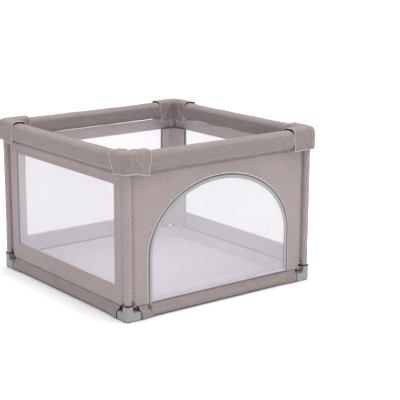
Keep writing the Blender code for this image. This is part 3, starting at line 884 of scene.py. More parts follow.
FINISHES = (
    Cloth("rail cloth", (0.425, 0.362, 0.350), (0.150, 0.120, 0.117), contrast=0.95),
    Cloth("wall cloth", (0.53, 0.445, 0.445), (0.235, 0.19, 0.192), contrast=0.97),
    # the walls' inner face: partly the cloth's paler wrong side, partly painted light standing in for light
    # inside the pen
    Cloth("lining painted lighter", (0.74, 0.665, 0.665), (0.46, 0.405, 0.405), contrast=0.95),
    # the wall cloth made darker: painted shade, as the sleeves face downwards
    Cloth("band cloth", (0.435, 0.365, 0.36), (0.18, 0.147, 0.147), contrast=0.95),
    # painted shade: a dark copy of the band cloth, for dark lines of shade at seams and edges
    Cloth("seam cloth", (0.20, 0.165, 0.165), (0.11, 0.09, 0.09), pitch=0.0007),
    Cloth("piping", (0.70, 0.655, 0.64), (0.50, 0.46, 0.45), pitch=0.0008, contrast=0.8),
    Cloth("thread", (0.60, 0.56, 0.55), (0.45, 0.41, 0.40), pitch=0.0004, density=1500.0),
    Net("net", (0.78, 0.75, 0.82)),
    Cloth("net hem", (0.62, 0.59, 0.65), (0.50, 0.47, 0.53), pitch=0.0009, contrast=0.7),
    Cloth("zip tape", (0.66, 0.66, 0.645), (0.50, 0.51, 0.495), pitch=0.0007, density=900.0),
    Moulding("zip teeth", (0.24, 0.25, 0.24), (0.32, 0.34, 0.33), 0.38, 1600.0, 0.00004),
    Cloth("door binding", (0.47, 0.49, 0.47), (0.33, 0.35, 0.335), pitch=0.0008, density=800.0),
    # painted shadow: a dark strip standing in for the shadow gap under the door's hem
    Cloth("painted gap shadow", (0.13, 0.135, 0.13), (0.07, 0.075, 0.072), pitch=0.0008, density=800.0),
    Cloth("elastic", (0.030, 0.028, 0.028), (0.010, 0.010, 0.010), pitch=0.0012, sheen=0.05),
    # pale floor fabric, made lighter than the mat as painted light, so the tray's shaded slope and the
    # skirts read as bright as the mat
    Cloth("floor cloth", (0.64, 0.595, 0.645), (0.54, 0.495, 0.54), pitch=0.0009, contrast=0.8),
    Cloth("mat cloth", (0.55, 0.51, 0.56), (0.46, 0.42, 0.47), pitch=0.0009, contrast=0.7),
    Moulding("foot plastic", (0.335, 0.345, 0.325), (0.55, 0.57, 0.55), 0.46),
    Moulding("corner plastic", (0.55, 0.56, 0.55), (0.6, 0.6, 0.6), 0.5),
    Moulding("grip rubber", (0.035, 0.035, 0.035), (0.12, 0.12, 0.11), 0.8, 500.0, 0.0002),
    Moulding("tube enamel", (0.55, 0.55, 0.55), (0.4, 0.4, 0.4), 0.36, 600.0, 0.00003, 0.25),
    Moulding("slider enamel", (0.18, 0.19, 0.185), (0.4, 0.4, 0.4), 0.34, 1400.0, 0.00002, 0.6),
)
MATERIALS = {finish.name: finish.build() for finish in FINISHES}


def dress(item: Object, finish: str) -> Object:
    """Gives a piece its finish.

    Args:
        item: the piece.
        finish: the finish's name.

    Returns:
        The same piece.
    """
    item.data.materials.clear()
    item.data.materials.append(MATERIALS[finish])
    return item


def set_out(item: Object, finish: str, body: Body, replaces: tuple[str, ...] = ()) -> Object:
    """Dresses a new piece, hangs it on its body's empty, hides the frame's nodes that it stands for, and
    logs it.

    Args:
        item: the piece.
        finish: the finish's name.
        body: the body that it rides on.
        replaces: the frame's nodes that it stands for.

    Returns:
        The same piece.
    """
    dress(item, finish)
    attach(item, body.value)
    if replaces:
        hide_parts(*replaces)
    LOG.info("%s: %d faces, %s", item.name, len(item.data.polygons), finish)
    return item


# ---- Cloth simulation ----


@dataclass(frozen=True)
class Swelling:
    """How a stuffed cover is let swell: a voxel remesh, then cloth under pressure for 20 frames.

    Attributes:
        voxel: size of the remesh.
        pressure: the push from inside.
        furthest: how far a point may move.
        frames: how long it is run.
    """

    voxel: float = 0.0055
    pressure: float = 4.0
    furthest: float = 0.005
    frames: int = 20

    def run(self, pieces: list[Object]) -> None:
        """Remeshes the pieces, lets them swell together, and puts the result in their meshes.

        Args:
            pieces: closed forms.
        """
        for item in pieces:
            self.remesh(item)
        before = {item.name: coordinates(item.data) for item in pieces}
        for item in pieces:
            cloth = item.modifiers.new("Swell", "CLOTH")
            cloth.settings.use_pressure = True
            cloth.settings.uniform_pressure_force = self.pressure
            cloth.settings.effector_weights.gravity = 0
            cloth.settings.quality = 4
            cloth.collision_settings.use_collision = False
            cloth.point_cache.frame_start, cloth.point_cache.frame_end = 1, self.frames
        for step in range(1, self.frames + 1):
            bpy.context.scene.frame_set(step)
        graph = bpy.context.evaluated_depsgraph_get()
        moved = {item.name: coordinates(item.evaluated_get(graph).data) for item in pieces}
        for item in pieces:
            item.modifiers.clear()
            shift = moved[item.name] - before[item.name]
            length = np.linalg.norm(shift, axis=1, keepdims=True) + 1e-12
            shift *= np.minimum(1, self.furthest / length)
            item.data.vertices.foreach_set("co", (before[item.name] + shift).astype(np.float32).ravel())
            item.data.update()
        bpy.context.scene.frame_set(1)

    def remesh(self, item: Object) -> None:
        """Gives a closed form even quads.

        Args:
            item: the piece.
        """
        change = item.modifiers.new("Even quads", "REMESH")
        change.mode = "VOXEL"
        change.voxel_size = self.voxel
        change.use_smooth_shade = True
        graph = bpy.context.evaluated_depsgraph_get()
        mesh = bpy.data.meshes.new_from_object(item.evaluated_get(graph))
        item.modifiers.clear()
        item.data = mesh


def coordinates(mesh: bpy.types.Mesh) -> Array:
    """A mesh's points, n by 3.

    Args:
        mesh: the mesh.

    Returns:
        Its points.
    """
    co = np.zeros(len(mesh.vertices) * 3, np.float32)
    mesh.vertices.foreach_get("co", co)
    return co.reshape(-1, 3).astype(float)


def subdivide(item: Object) -> Object:
    """Adds one live subdivision, the same in the viewport and the render.

    Args:
        item: the piece.

    Returns:
        The same piece.
    """
    change = item.modifiers.new("Subdivision", "SUBSURF")
    change.levels = change.render_levels = 1
    return item


# ---- Padded rails ----


@dataclass
class RailPads:
    """The four padded top rails: foam sleeves in a heathered cover, soft boxes in section.

    Attributes:
        squareness: the power of the section's rounded box; 2 is an ellipse.
        slack: how far the unswollen form stays inside its solid.
        tuck: how much further in it lies under a corner cap.
        dent: depth of the cover's unevenness.
        shortest_fold, longest_fold: lengths of that unevenness.
        steps, ring: points along a rail and round it.
    """

    squareness: float = 4.3
    slack: float = 0.0022
    tuck: float = 0.0035
    dent: float = 0.0011
    shortest_fold: float = 0.05
    longest_fold: float = 0.30
    steps: int = 150
    ring: int = 56

    def form(self, side: Side) -> Array:
        """The unswollen form of one side's pad.

        Formula: the section is (sign(cos a)|cos a|^(2/n), sign(sin a)|sin a|^(2/n)) times half the
        pad's thickness and height, carried along x; it narrows under the corner caps.

        Args:
            side: the side.

        Returns:
            A grid of points, along the rail and round it.
        """
        end = side.half - PAD_HALF - GAP_TO_PAD
        x = np.linspace(-end, end, self.steps)
        wide, high = rounded_box(ring_angles(self.ring), self.squareness)
        under_cap = self.tuck * smooth_step(np.abs(x), side.half - 0.120, side.half - 0.085)
        reach = PAD_HALF - self.slack - under_cap
        rise = (PAD_HIGH - PAD_LOW) / 2 - self.slack - under_cap
        grid = np.zeros((self.steps, self.ring, 3))
        grid[..., 0] = x[:, None]
        grid[..., 1] = reach[:, None] * wide
        grid[..., 2] = (PAD_HIGH + PAD_LOW) / 2 + rise[:, None] * high
        stretched = grid * np.array([1.0, 2.0, 2.0])
        fold = waves(stretched, 11 + side.turn, self.shortest_fold, self.longest_fold)
        pucker = waves(grid * np.array([3.0, 0.6, 0.6]), 31 + side.turn, 0.03, 0.08)
        near_cap = bump(np.abs(grid[..., 0]), side.half - 0.135, 0.05)
        grid += facing(grid) * -(self.dent * fold + 0.0011 * near_cap * pucker)[..., None]
        return side.to_world(grid)

    def build(self) -> list[Object]:
        """Makes the four pads, lets them swell and dresses them.

        Returns:
            The pads.
        """
        pads = [
            face_out(surface(f"padded_rail_{side.name}", self.form(side), ring=True, ends=(True, True)))
            for side in SIDES
        ]
        Swelling().run(pads)
        for side, pad in zip(SIDES, pads):
            subdivide(pad)
            pad.data.shade_smooth()
            set_out(pad, "rail cloth", Body.PEN, (f"rail_pad_{side.name}",))
        return pads


# ---- Corner caps ----


@dataclass
class CornerCaps:
    """The cloth caps over the corners: an upside-down U section carried round an L, with piping.

    Attributes:
        arms: length of each corner's two arms at their top, from the outer corner.
        leans: how much shorter each arm is at its hem.
        hem_rises: how far each corner's hem arches up round the outer corner.
        cloth: thickness.
        outer_round, inner_round: radii of the L's corners.
        shoulder: power of the section's rounded box.
        piping: radius of the piping.
        dome: height of the rounded top over the straight sides.
        side_steps: points up one straight side.
        arm_steps, turn_steps, section_steps: points along an arm, round the turn and round the U.
    """

    arms: Pairs = ((0.135, 0.110), (0.138, 0.144), (0.156, 0.156), (0.156, 0.144))
    leans: Pairs = ((0.014, 0.030), (0.010, 0.006), (0.006, 0.006), (0.008, 0.010))
    hem_rises: tuple[float, ...] = (0.016, 0.005, 0.008, 0.012)
    cloth: float = 0.0014
    outer_round: float = 0.040
    inner_round: float = 0.006
    shoulder: float = 4.2
    piping: float = 0.0015
    dome: float = 0.040
    side_steps: int = 14
    arm_steps: int = 26
    turn_steps: int = 18
    section_steps: int = 64

    def section(self) -> tuple[Array, Array]:
        """The U from the outer hem over the top to the inner hem.

        Formula: the upper half of a rounded box, |y / w|^n + |z / h|^n = 1, on top of straight
        sides; returned as how far out and how high each point is.

        Returns:
            How far out and how high each point is.
        """
        steps, straight = self.side_steps, CAP_HIGH - CAP_LOW - self.dome
        half = CAP_HALF - self.cloth / 2
        wide, high = rounded_box(np.linspace(0, math.pi, self.section_steps - 2 * steps), self.shoulder)
        up = CAP_HIGH - self.dome - self.cloth / 2 + self.dome * high
        side = np.linspace(0, straight, steps, endpoint=False) + CAP_LOW + self.cloth / 2
        out = np.concatenate([np.full(steps, half), half * wide, np.full(steps, -half)])
        up = np.concatenate([side, up, side[::-1]])
        line = along(np.stack([out, up], axis=1), self.section_steps)
        return line[:, 0], line[:, 1]

    def form(self, corner: Corner) -> Array:
        """The unwrinkled cap in the corner's own axes.

        Formula: a point that is out from the arms' middle line follows an L whose corner is at
        (-out, -out), rounded by a radius that grows from the inner side to the outer side.

        Args:
            corner: the corner.

        Returns:
            A grid of points, along the L and round the U.
        """
        out, up = self.section()
        share = (out / CAP_HALF + 1) / 2
        radius = self.inner_round + (self.outer_round - self.inner_round) * smooth_step(share, 0, 1)
        drop = smooth_step(CAP_HIGH - up, 0.0, CAP_HIGH - CAP_LOW)
        arms, leans = self.arms[corner.turn], self.leans[corner.turn]
        ends = [arm - CAP_HALF - lean * drop for arm, lean in zip(arms, leans)]
        arm = np.linspace(1, 0, self.arm_steps, endpoint=False)[:, None]
        turn = np.linspace(0, 1, self.turn_steps)[:, None] * math.pi / 2
        start = radius - out
        level = np.broadcast_to(-out, (self.arm_steps, len(out)))
        first = np.stack([start + (ends[0] - start) * arm, level], axis=-1)
        last = np.stack([level, start + (ends[1] - start) * arm], axis=-1)[::-1]
        round_x = start - radius * np.sin(turn)
        round_y = start - radius * np.cos(turn)
        middle_part = np.stack([round_x, round_y], axis=-1)
        plan = np.concatenate([first, middle_part, last])
        near_hem = 1 - smooth_step(up, CAP_LOW, CAP_HIGH - 0.02)
        rise = self.hem_rises[corner.turn] * bump(plan.max(-1), -0.01, 0.060) * near_hem
        return np.concatenate([plan, (up + rise)[..., None]], axis=-1)

    def folds(self, grid: Array, corner: Corner) -> Array:
        """How far each point stands out from the unwrinkled cap.

        Formula: soft waves all over; on the top, folds that fan out from the inner corner, as
        sines of the angle round it; on the inner faces two long folds that meet there; upright
        folds beside the outer corner; short puckers beside the arms' ends.

        Args:
            grid: the unwrinkled cap.
            corner: the corner.

        Returns:
            One distance for each point.
        """
        x, y, z = grid[..., 0], grid[..., 1], grid[..., 2]
        seed = 50 + corner.turn
        soft = 0.0012 * waves(grid, seed, 0.04, 0.12) + 0.0005 * waves(grid, seed + 7, 0.015, 0.04)
        inner = CAP_HALF + self.inner_round
        angle = np.arctan2(y - inner, x - inner)
        near = np.exp(-(np.hypot(x - inner, y - inner) / 0.035) ** 2)
        fan = 0.0026 * near * np.sin(angle * 9 + seed) * smooth_step(z, CAP_HIGH - 0.03, CAP_HIGH - 0.004)
        inside = smooth_step(np.minimum(x, y), 0.0, CAP_HALF)
        drop = (CAP_HIGH - z) * 0.55 + 0.006
        distance = np.maximum(x, y) - inner
        slanting = bump(distance, drop, 0.007) * (z < CAP_HIGH - 0.01)
        inner_pair = 0.0045 * inside * (bump(distance, 0.0, 0.008) + slanting)
        outside = 1 - smooth_step(np.minimum(x, y), -CAP_HALF, -CAP_HALF + 0.012)
        upright = 0.0011 * outside * np.sin((x - y) * 210 + 1.3 * seed) * bump(x + y, -0.03, 0.05)
        end = np.where(x > y, *self.arms[corner.turn]) - CAP_HALF
        beside = bump(np.maximum(x, y), end - 0.006, 0.014)
        pucker = 0.0006 * beside * np.sin(z * 300 + x * 50 - y * 50 + seed)
        sag = 0.0025 * outside * bump(z, CAP_LOW + 0.012, 0.016) * waves(grid, seed + 3, 0.05, 0.1)
        return np.clip(soft + fan + inner_pair + upright + pucker + sag, -0.0018, 0.0085)

    def edge(self, grid: Array) -> tuple[Array, Array]:
        """The cap's whole edge as a closed line, and the way the cloth faces along it.

        Args:
            grid: the cap.

        Returns:
            The line, and one direction for each of its points.
        """
        normal = facing(grid)
        forth, back = slice(None), slice(None, None, -1)
        parts = [(forth, 0), (-1, forth), (back, -1), (0, back)]
        line = np.concatenate([grid[index][:-1] for index in parts])
        side = np.concatenate([normal[index][:-1] for index in parts])
        return line, side

    def build(self) -> None:
        """Makes the caps, their piping and a row of stitches beside it."""
        for corner in CORNERS:
            flat = self.form(corner)
            normal = facing(flat)
            outward = normal * np.where((normal * (flat - flat.mean((0, 1)))).sum(-1).mean() < 0, -1, 1)
            grid = flat + outward * self.folds(flat, corner)[..., None]
            hem = slice(0, 6)
            grid[:, hem, 2] += 0.0015 * np.sin(np.linspace(0, 9, grid.shape[0]))[:, None]
            world = corner.to_world(grid)
            cap = thicken(surface(f"cap_{corner.name}", world), self.cloth)
            subdivide(cap)
            set_out(cap, "rail cloth", Body.PEN, (f"corner_cap_{corner.name}",))
            line, side = self.edge(world)
            piping = cord_along(f"cap_piping_{corner.name}", line, side, self.piping, loop=True)
            set_out(piping, "piping", Body.PEN)
            row = 3
            seam = np.concatenate([world[row, 4:-4], world[-1 - row, 4:-4][::-1]])
            out = np.concatenate([facing(world)[row, 4:-4], facing(world)[-1 - row, 4:-4][::-1]])
            for number, (path, way) in enumerate(zip(np.split(seam, 2), np.split(out, 2))):
                sign = 1 if (way * (path - world.mean((0, 1)))).sum() > 0 else -1
                name = f"cap_stitches_{corner.name}_{number}"
                seam_row = stitches(name, path, way * sign, self.cloth / 2)
                set_out(seam_row, "thread", Body.PEN)


# ---- Walls ----


@dataclass
class Walls:
    """The four cloth walls with their windows, the net in them and the sleeves over the posts.

    Attributes:
        cloth: thickness of the wall.
        hem: width of the folded hem round an opening.
        hem_rise: how far the hem stands out.
        crease: height of the cloth's soft folds.
        valley: how far the cloth falls back beside a post and under a rail.
        rows: points from an opening's edge to the wall's outer edge.
        net_sag: how far a net bellies.
        lap: how far a net reaches behind its wall.
        facing_shade_line: radius of the dark cord of painted shade along the top of a corner's facing.
        sleeve_rows, sleeve_ring: points up a post's sleeve and round it.
    """

    cloth: float = 0.0015
    hem: float = 0.011
    hem_rise: float = 0.0008
    crease: float = 0.0012
    valley: float = 0.0065
    rows: int = 30
    net_sag: float = 0.0025
    lap: float = 0.005
    facing_shade_line: float = 0.0021
    sleeve_rows: int = 110
    sleeve_ring: int = 32

    def outer_keys(self, half: float) -> Array:
        """The right half of a wall's outer edge: lower edge, cut-out over the foot, side, top.

        Args:
            half: half the distance between the posts.

        Returns:
            Six points of the plane.
        """
        edge = half - SLEEVE_RADIUS + 0.0035
        low = WALL_LOW
        cut = [[BAND_END + 0.010, low], [edge - 0.024, low + 0.0065], [edge - 0.011, low + 0.022]]
        top = WALL_TOP + 0.004
        return np.array([*cut, [edge, low + 0.036], [edge, top], [0.0, top]])

    def unevenness(self, plan: Array, distance: Array, seed: int) -> Array:
        """How far the wall stands out of its plane.

        Formula: waves drawn out upright, waves that run with the corners' diagonals, the hem's
        step, which falls off over a millimetre or two from its inner edge, and a valley beside
        the posts and under the rail.

        Args:
            plan: points of the plane.
            distance: each point's distance from the opening.
            seed: picks the waves.

        Returns:
            One distance for each point.
        """
        points = np.concatenate([plan, np.zeros((*plan.shape[:2], 1))], axis=-1)
        upright = waves(points * np.array([2.2, 0.5, 1]), seed, 0.07, 0.35)
        diagonal = waves(points @ np.array([[1, 0.8, 0], [-0.8, 1, 0], [0, 0, 1]]), seed + 1, 0.05, 0.2)
        hem = self.hem_rise * (1 - smooth_step(distance, self.hem - 0.001, self.hem + 0.0015))
        edge = 0.3 + 0.7 * smooth_step(distance, 0, 0.02)
        beside_post = smooth_step(np.abs(plan[..., 0]), POST_X - 0.043, POST_X - 0.019)
        under_rail = smooth_step(plan[..., 1], WALL_TOP - 0.012, WALL_TOP - 0.002)
        valley = self.valley * np.maximum(beside_post, 0.7 * under_rail)
        return hem + self.crease * edge * (0.6 * upright + 0.4 * diagonal) - valley

    def lay(self, side: Side, inner: Array, outer: Array, seed: int) -> Array:
        """A wall between its opening's edge and its outer edge, both as points of the plane.

        Formula: rows at even shares between the two edges, bent out of the plane by unevenness.

        Args:
            side: the side.
            inner, outer: the two edges, point by point.
            seed: picks the waves.

        Returns:
            A grid of points, from the opening outwards.
        """
        share = np.linspace(0, 1, self.rows)[:, None, None]
        plan = inner + (outer - inner) * share ** 1.15
        distance = np.linalg.norm(plan - inner, axis=-1)
        out = self.unevenness(plan, distance, seed)
        return side.place(plan[..., 0], -out, plan[..., 1])

    def window_edges(self, side: Side) -> tuple[Array, Array]:
        """A window's edge and the wall's outer edge, point by point, from the middle of the top.

        Args:
            side: the side.

        Returns:
            Both edges.
        """
        x, low, high = WINDOW_HALF, WINDOW_LOW, WINDOW_HIGH
        right = self.outer_keys(side.half)
        keys = [
            ([[0, high], [x, high]], [right[5], right[4]], 40),
            ([[x, high], [x, low]], [right[4], right[3], right[2]], 50),
            ([[x, low], [0, low]], [right[2], right[1], right[0], [0, WALL_LOW]], 50),
        ]
        inner = np.concatenate([along(np.array(a, float), n)[:-1] for a, _, n in keys])
        outer = np.concatenate([along(np.array(b, float), n)[:-1] for _, b, n in keys])
        mirror = np.array([-1, 1])
        low_middle = np.array([[0.0, low]]), np.array([[0.0, WALL_LOW]])
        inner = np.concatenate([inner, low_middle[0], (inner[1:] * mirror)[::-1]])
        outer = np.concatenate([outer, low_middle[1], (outer[1:] * mirror)[::-1]])
        return inner, outer

    def net(self, name: str, side: Side, half: float, low: float, high: float, seed: int) -> Object:
        """A flat net that bellies a little, behind its wall.

        Args:
            name: its name.
            side: the side.
            half: half its width.
            low, high: its two edges.
            seed: picks the waves.

        Returns:
            The net.
        """
        x, z = np.meshgrid(np.linspace(-half, half, 60), np.linspace(low, high, 40), indexing="ij")
        belly = np.cos(x / half * math.pi / 2) * np.sin((z - low) / (high - low) * math.pi)
        ripple = waves(np.stack([x, np.zeros_like(x), z], axis=-1), seed, 0.1, 0.4)
        y = self.cloth / 2 + 0.0012 + self.net_sag * belly * (1 + 0.5 * ripple)
        return surface(name, side.place(x, y, z))

    def build_window_wall(self, side: Side) -> None:
        """One wall with its window's net, hem and stitches.

        Args:
            side: the side.
        """
        inner, outer = self.window_edges(side)
        grid = self.lay(side, inner, outer, 70 + 3 * side.turn)
        wall = face_towards(surface(f"wall_cloth_{side.name}", grid, ring=True), side.outward())
        thicken(wall, self.cloth)
        set_out(wall, "wall cloth", Body.PEN, (f"wall_{side.name}",))
        # inner face lighter than the outer: paler wrong side, and painted light
        line_inside(wall, "lining painted lighter")
        lap = self.lap
        low, high = WINDOW_LOW - lap, WINDOW_HIGH + lap
        net = self.net(f"window_net_{side.name}", side, WINDOW_HALF + lap, low, high, 90)
        set_out(net, "net", Body.PEN, (f"window_mesh_{side.name}",))
        for number, inset in enumerate((0.0025, 0.0085)):
            frame_line = self.rectangle(WINDOW_HALF + inset, WINDOW_LOW - inset, WINDOW_HIGH + inset)
            path = side.place(frame_line[:, 0], 0.0, frame_line[:, 1])
            lift = self.cloth / 2 + self.hem_rise
            row = stitches(f"window_stitches_{side.name}_{number}", path, side.outward(), lift)
            set_out(row, "thread", Body.PEN)

    def rectangle(self, half: float, low: float, high: float) -> Array:
        """A closed rectangle's line."""
        keys = np.array([[-half, low], [half, low], [half, high], [-half, high], [-half, low]])
        return along(keys, 400)

    def build_sleeve(self, corner: Corner) -> None:
        """The sleeve over a post.

        Formula: a circle that swells and narrows with soft upright waves, flattened a little
        towards the two walls, carried up the post.

        Args:
            corner: the corner.
        """
        low, high = SOCKET_TOP + 0.0005, WALL_TOP + 0.006
        z = np.linspace(low, high, self.sleeve_rows)
        angle = ring_angles(self.sleeve_ring)
        ring = np.stack([np.cos(angle), np.sin(angle)], axis=-1)
        grid = np.concatenate([
            np.broadcast_to(ring * SLEEVE_RADIUS, (len(z), len(angle), 2)),
            np.broadcast_to(z[:, None, None], (len(z), len(angle), 1)),
        ], axis=-1)
        fold = waves(grid * np.array([3.5, 3.5, 0.45]), 120 + corner.turn, 0.03, 0.12)
        cross = waves(grid * np.array([1, 1, 1.6]), 125 + corner.turn, 0.05, 0.15)
        scale = 1 + (0.0006 * fold + 0.0004 * cross - 0.0006) / SLEEVE_RADIUS
        grid = grid * np.stack([scale, scale, np.ones_like(scale)], axis=-1)
        world = corner.to_world(grid)
        sleeve = surface(f"post_cover_{corner.name}", world, ring=True)
        thicken(face_out(sleeve), 0.0016, -1.0)
        set_out(sleeve, "wall cloth", Body.PEN, (f"post_sleeve_{corner.name}",))
        self.build_corner_facing(corner)

    def build_corner_facing(self, corner: Corner) -> None:
        """The facing inside a corner: cloth over both walls up to the windows' height, with a dark cord of
        painted shade along its top.

        Formula: a line from one wall round the post's inner side to the other wall, its corner
        a quarter circle, carried upwards; its top edge is the line of the painted shade cord.

        Args:
            corner: the corner.
        """
        reach, out, radius = POST_X - WINDOW_HALF - 0.004, 0.0100, SLEEVE_RADIUS + 0.002
        turn = np.linspace(0, math.pi / 2, 20)
        bend = np.stack([out + radius * (1 - np.sin(turn)), out + radius * (1 - np.cos(turn))], axis=-1)
        line = along(np.concatenate([[[reach, out]], bend, [[out, reach]]]), 60)
        z = np.linspace(SEAM_TOP + 0.004, WINDOW_HIGH + 0.004, 60)
        grid = np.zeros((60, 60, 3))
        grid[..., :2] = line[None]
        grid[..., 2] = z[:, None]
        ripple = waves(grid * np.array([3, 3, 0.6]), 160 + corner.turn, 0.04, 0.15)
        grid[..., :2] += (0.0012 * (ripple + 0.6))[..., None] * np.sqrt(0.5)
        facing_cloth = thicken(surface(f"corner_facing_{corner.name}", corner.to_world(grid)), 0.0010)
        # the facing is lighter than the wall cloth: paler wrong side, and painted light
        set_out(facing_cloth, "lining painted lighter", Body.PEN)
        # a dark cord along the facing's top edge: painted shade
        hem = grid[-1] + np.array([0.0009, 0.0009, 0.0])
        way = corner.turned(np.broadcast_to([1.0, 1.0, 0.0], hem.shape))
        name = f"corner_facing_shade_line_{corner.name}"
        cord = cord_along(name, corner.to_world(hem), way, self.facing_shade_line, loop=False, sides=6)
        set_out(cord, "seam cloth", Body.PEN)

    def build(self) -> None:
        """Makes the window walls and the posts' sleeves."""
        for side in SIDES[1:]:
            self.build_window_wall(side)
        for corner in CORNERS:
            self.build_sleeve(corner)


# ---- Door ----


def arch(inset: float, base: float, straight: int = 40, turn: int = 90) -> Array:
    """The door's arch at an inset from its opening's edge, from its right foot to its left foot.

    Formula: a straight leg at half width - inset up to the spring, then half an ellipse of that
    half width and the rise - inset, then the other leg.

    Args:
        inset: distance in from the opening's edge.
        base: height of the feet.
        straight, turn: points of a leg and of the half ellipse.

    Returns:
        The arch as points of the plane.
    """
    half, rise = DOOR_HALF - inset, DOOR_TOP - DOOR_SPRING - inset
    leg = np.linspace(base, DOOR_SPRING, straight, endpoint=False)
    angle = np.linspace(0, math.pi, turn)
    right = np.stack([np.full(straight, half), leg], axis=-1)
    top = np.stack([half * np.cos(angle), DOOR_SPRING + rise * np.sin(angle)], axis=-1)
    return np.concatenate([right, top, (right * np.array([-1, 1]))[::-1]])


@dataclass
class Door:
    """The door's wall, the door's net and binding, and the zip between them.

    Attributes:
        walls: the walls' own sizes and ways.
        tape: width of the light strip of zip tape beside the wall.
        chain: width of the zip's teeth.
        binding: width of the binding round the net.
        tooth_pitch: distance between teeth of one row.
    """

    walls: Walls
    tape: float = 0.0046
    chain: float = 0.0056
    binding: float = 0.0145
    tooth_pitch: float = 0.0025

    def flat(self, plan: Array, out: float | Array) -> Array:
        """Points of the front wall's plane, out towards the front, in world axes."""
        return SIDES[0].place(plan[..., 0], -out, plan[..., 1])

    def build_wall(self) -> None:
        """The front wall: rows from the arch to the wall's outer edge."""
        side = SIDES[0]
        inner = arch(-0.0004, WALL_LOW)
        right = self.walls.outer_keys(side.half)
        straight, turn, corner_turn = 40, 90, 30
        spring = np.array([right[3][0], DOOR_SPRING])
        leg = along(np.array([*right[:4], spring]), straight + 1)[:-1]
        up = along(np.array([spring, right[4]]), corner_turn + 1)[:-1]
        top = along(right[4:6], (turn - 2 * corner_turn) // 2 + 1)[:-1]
        half = np.concatenate([leg, up, top])
        outer = np.concatenate([half, (half * np.array([-1, 1]))[::-1]])
        grid = self.walls.lay(side, inner, outer, 70)
        wall = face_towards(surface("wall_cloth_front", grid), side.outward())
        thicken(wall, self.walls.cloth)
        set_out(wall, "wall cloth", Body.PEN, ("wall_front",))
        # inner face lighter than the outer: paler wrong side, and painted light
        line_inside(wall, "lining painted lighter")
        opening = 2 * DOOR_HALF * (DOOR_SPRING - WALL_LOW)
        opening += math.pi / 2 * DOOR_HALF * (DOOR_TOP - DOOR_SPRING)
        for number, inset in enumerate((-0.0030, -0.0090)):
            path = self.flat(arch(inset, WALL_LOW + 0.002), 0.0)
            row = stitches(f"arch_stitches_{number}", path, np.array([0, -1.0, 0]), 0.0017)
            set_out(row, "thread", Body.PEN)

    def band(self, name: str, outer: float, inner: float, base: float, out: float, rise: float) -> Object:
        """A strip along the arch with a rounded face.

        Formula: rows between the two insets; each stands out by rise * sin(pi * share).

        Args:
            name: its name.
            outer, inner: insets of its two edges.
            base: height of its feet.
            out: how far out its edges lie.
            rise: how much further its middle stands out.

        Returns:
            The strip.
        """
        share = np.linspace(0, 1, 9)
        rows = [
            self.flat(arch(outer + (inner - outer) * s, base), out + rise * math.sin(math.pi * s))
            for s in share
        ]
        return surface(name, np.stack(rows))

    def teeth(self, name: str, inset: float, base: float, shift: float) -> Object:
        """One row of the zip's teeth: a small block across the chain every tooth pitch.

        Args:
            name: its name.
            inset: the row's inset.
            base: height of its feet.
            shift: 0, or 1 to start half a pitch on.

        Returns:
            The row.
        """
        path = self.flat(arch(inset, base, 80, 240), 0.0013)
        count = int(line_length(path) / self.tooth_pitch)
        spots = along(path, 2 * count + 1)[(1 if shift else 0)::2]
        axes = line_axes(spots, np.array([0, -1.0, 0]))
        size = np.array([0.00052, self.chain * 0.30, 0.0009])
        return face_out(repeat(name, BLOCK_CORNERS * size, BLOCK_FACES, spots, axes))

    def build_zip(self) -> None:
        """Both halves of the zip and its teeth."""
        base = WALL_LOW + 0.0005
        wall_tape = thicken(self.band("zip_strip_wall", 0.0002, self.tape, base, 0.0004, 0.0006), 0.0009)
        set_out(wall_tape, "zip tape", Body.PEN, ("zip_tape_wall",))
        middle_line = self.tape + self.chain / 2
        row = self.teeth("zip_teeth_wall", middle_line - self.chain * 0.16, base, 0.0)
        set_out(row, "zip teeth", Body.PEN)
        row = self.teeth("zip_teeth_door", middle_line + self.chain * 0.16, DOOR_BASE, 1.0)
        set_out(row, "zip teeth", Body.DOOR)
        outer, inner = middle_line + 0.0002, self.tape + self.chain + 0.001
        backing = thicken(self.band("zip_strip_door", outer, inner, DOOR_BASE, -0.0004, 0.0), 0.0008)
        set_out(backing, "zip teeth", Body.DOOR, ("zip_tape_door",))
        outer, inner = self.tape - 0.0005, middle_line - 0.0002
        backing = thicken(self.band("zip_strip_wall_teeth", outer, inner, base, -0.0004, 0.0), 0.0008)
        set_out(backing, "zip teeth", Body.PEN)

    def build_door(self) -> None:
        """The net, its binding along the arch and the hem along its foot."""
        start = self.tape + self.chain
        outer, inner = start + 0.0002, start + self.binding
        strip = self.band("door_binding", outer, inner, DOOR_BASE + 0.002, 0.0004, 0.0014)
        binding = thicken(strip, 0.0012)
        set_out(binding, "door binding", Body.DOOR, ("door_border",))
        for number, inset in enumerate((0.0022, self.binding - 0.0016)):
            path = self.flat(arch(start + inset, DOOR_BASE + 0.004), 0.0)
            row = stitches(f"binding_stitches_{number}", path, np.array([0, -1.0, 0]), 0.0019)
            set_out(row, "thread", Body.DOOR)
        edge = arch(start + 0.003, DOOR_BASE + 0.004)
        count = len(edge) // 2
        right, left = edge[:count], edge[::-1][:count]
        share = np.linspace(0, 1, 60)[:, None, None]
        plan = right + (left - right) * share
        flat = np.stack([plan[..., 0], np.zeros(plan.shape[:-1]), plan[..., 1]], axis=-1)
        ripple = waves(flat, 201, 0.08, 0.4)
        span = np.sin(share[..., 0] * math.pi)
        z = plan[..., 1]
        fold = 0.0035 * bump(z, DOOR_BASE + 0.030, 0.010) - 0.002 * bump(z, DOOR_BASE + 0.052, 0.010)
        out = -0.0016 + span * (0.0022 * ripple * smooth_step(z, DOOR_BASE, DOOR_BASE + 0.2) + fold)
        net = surface("door_net", self.flat(plan, out))
        set_out(net, "net", Body.DOOR, ("door_mesh",))
        self.build_hem(start)

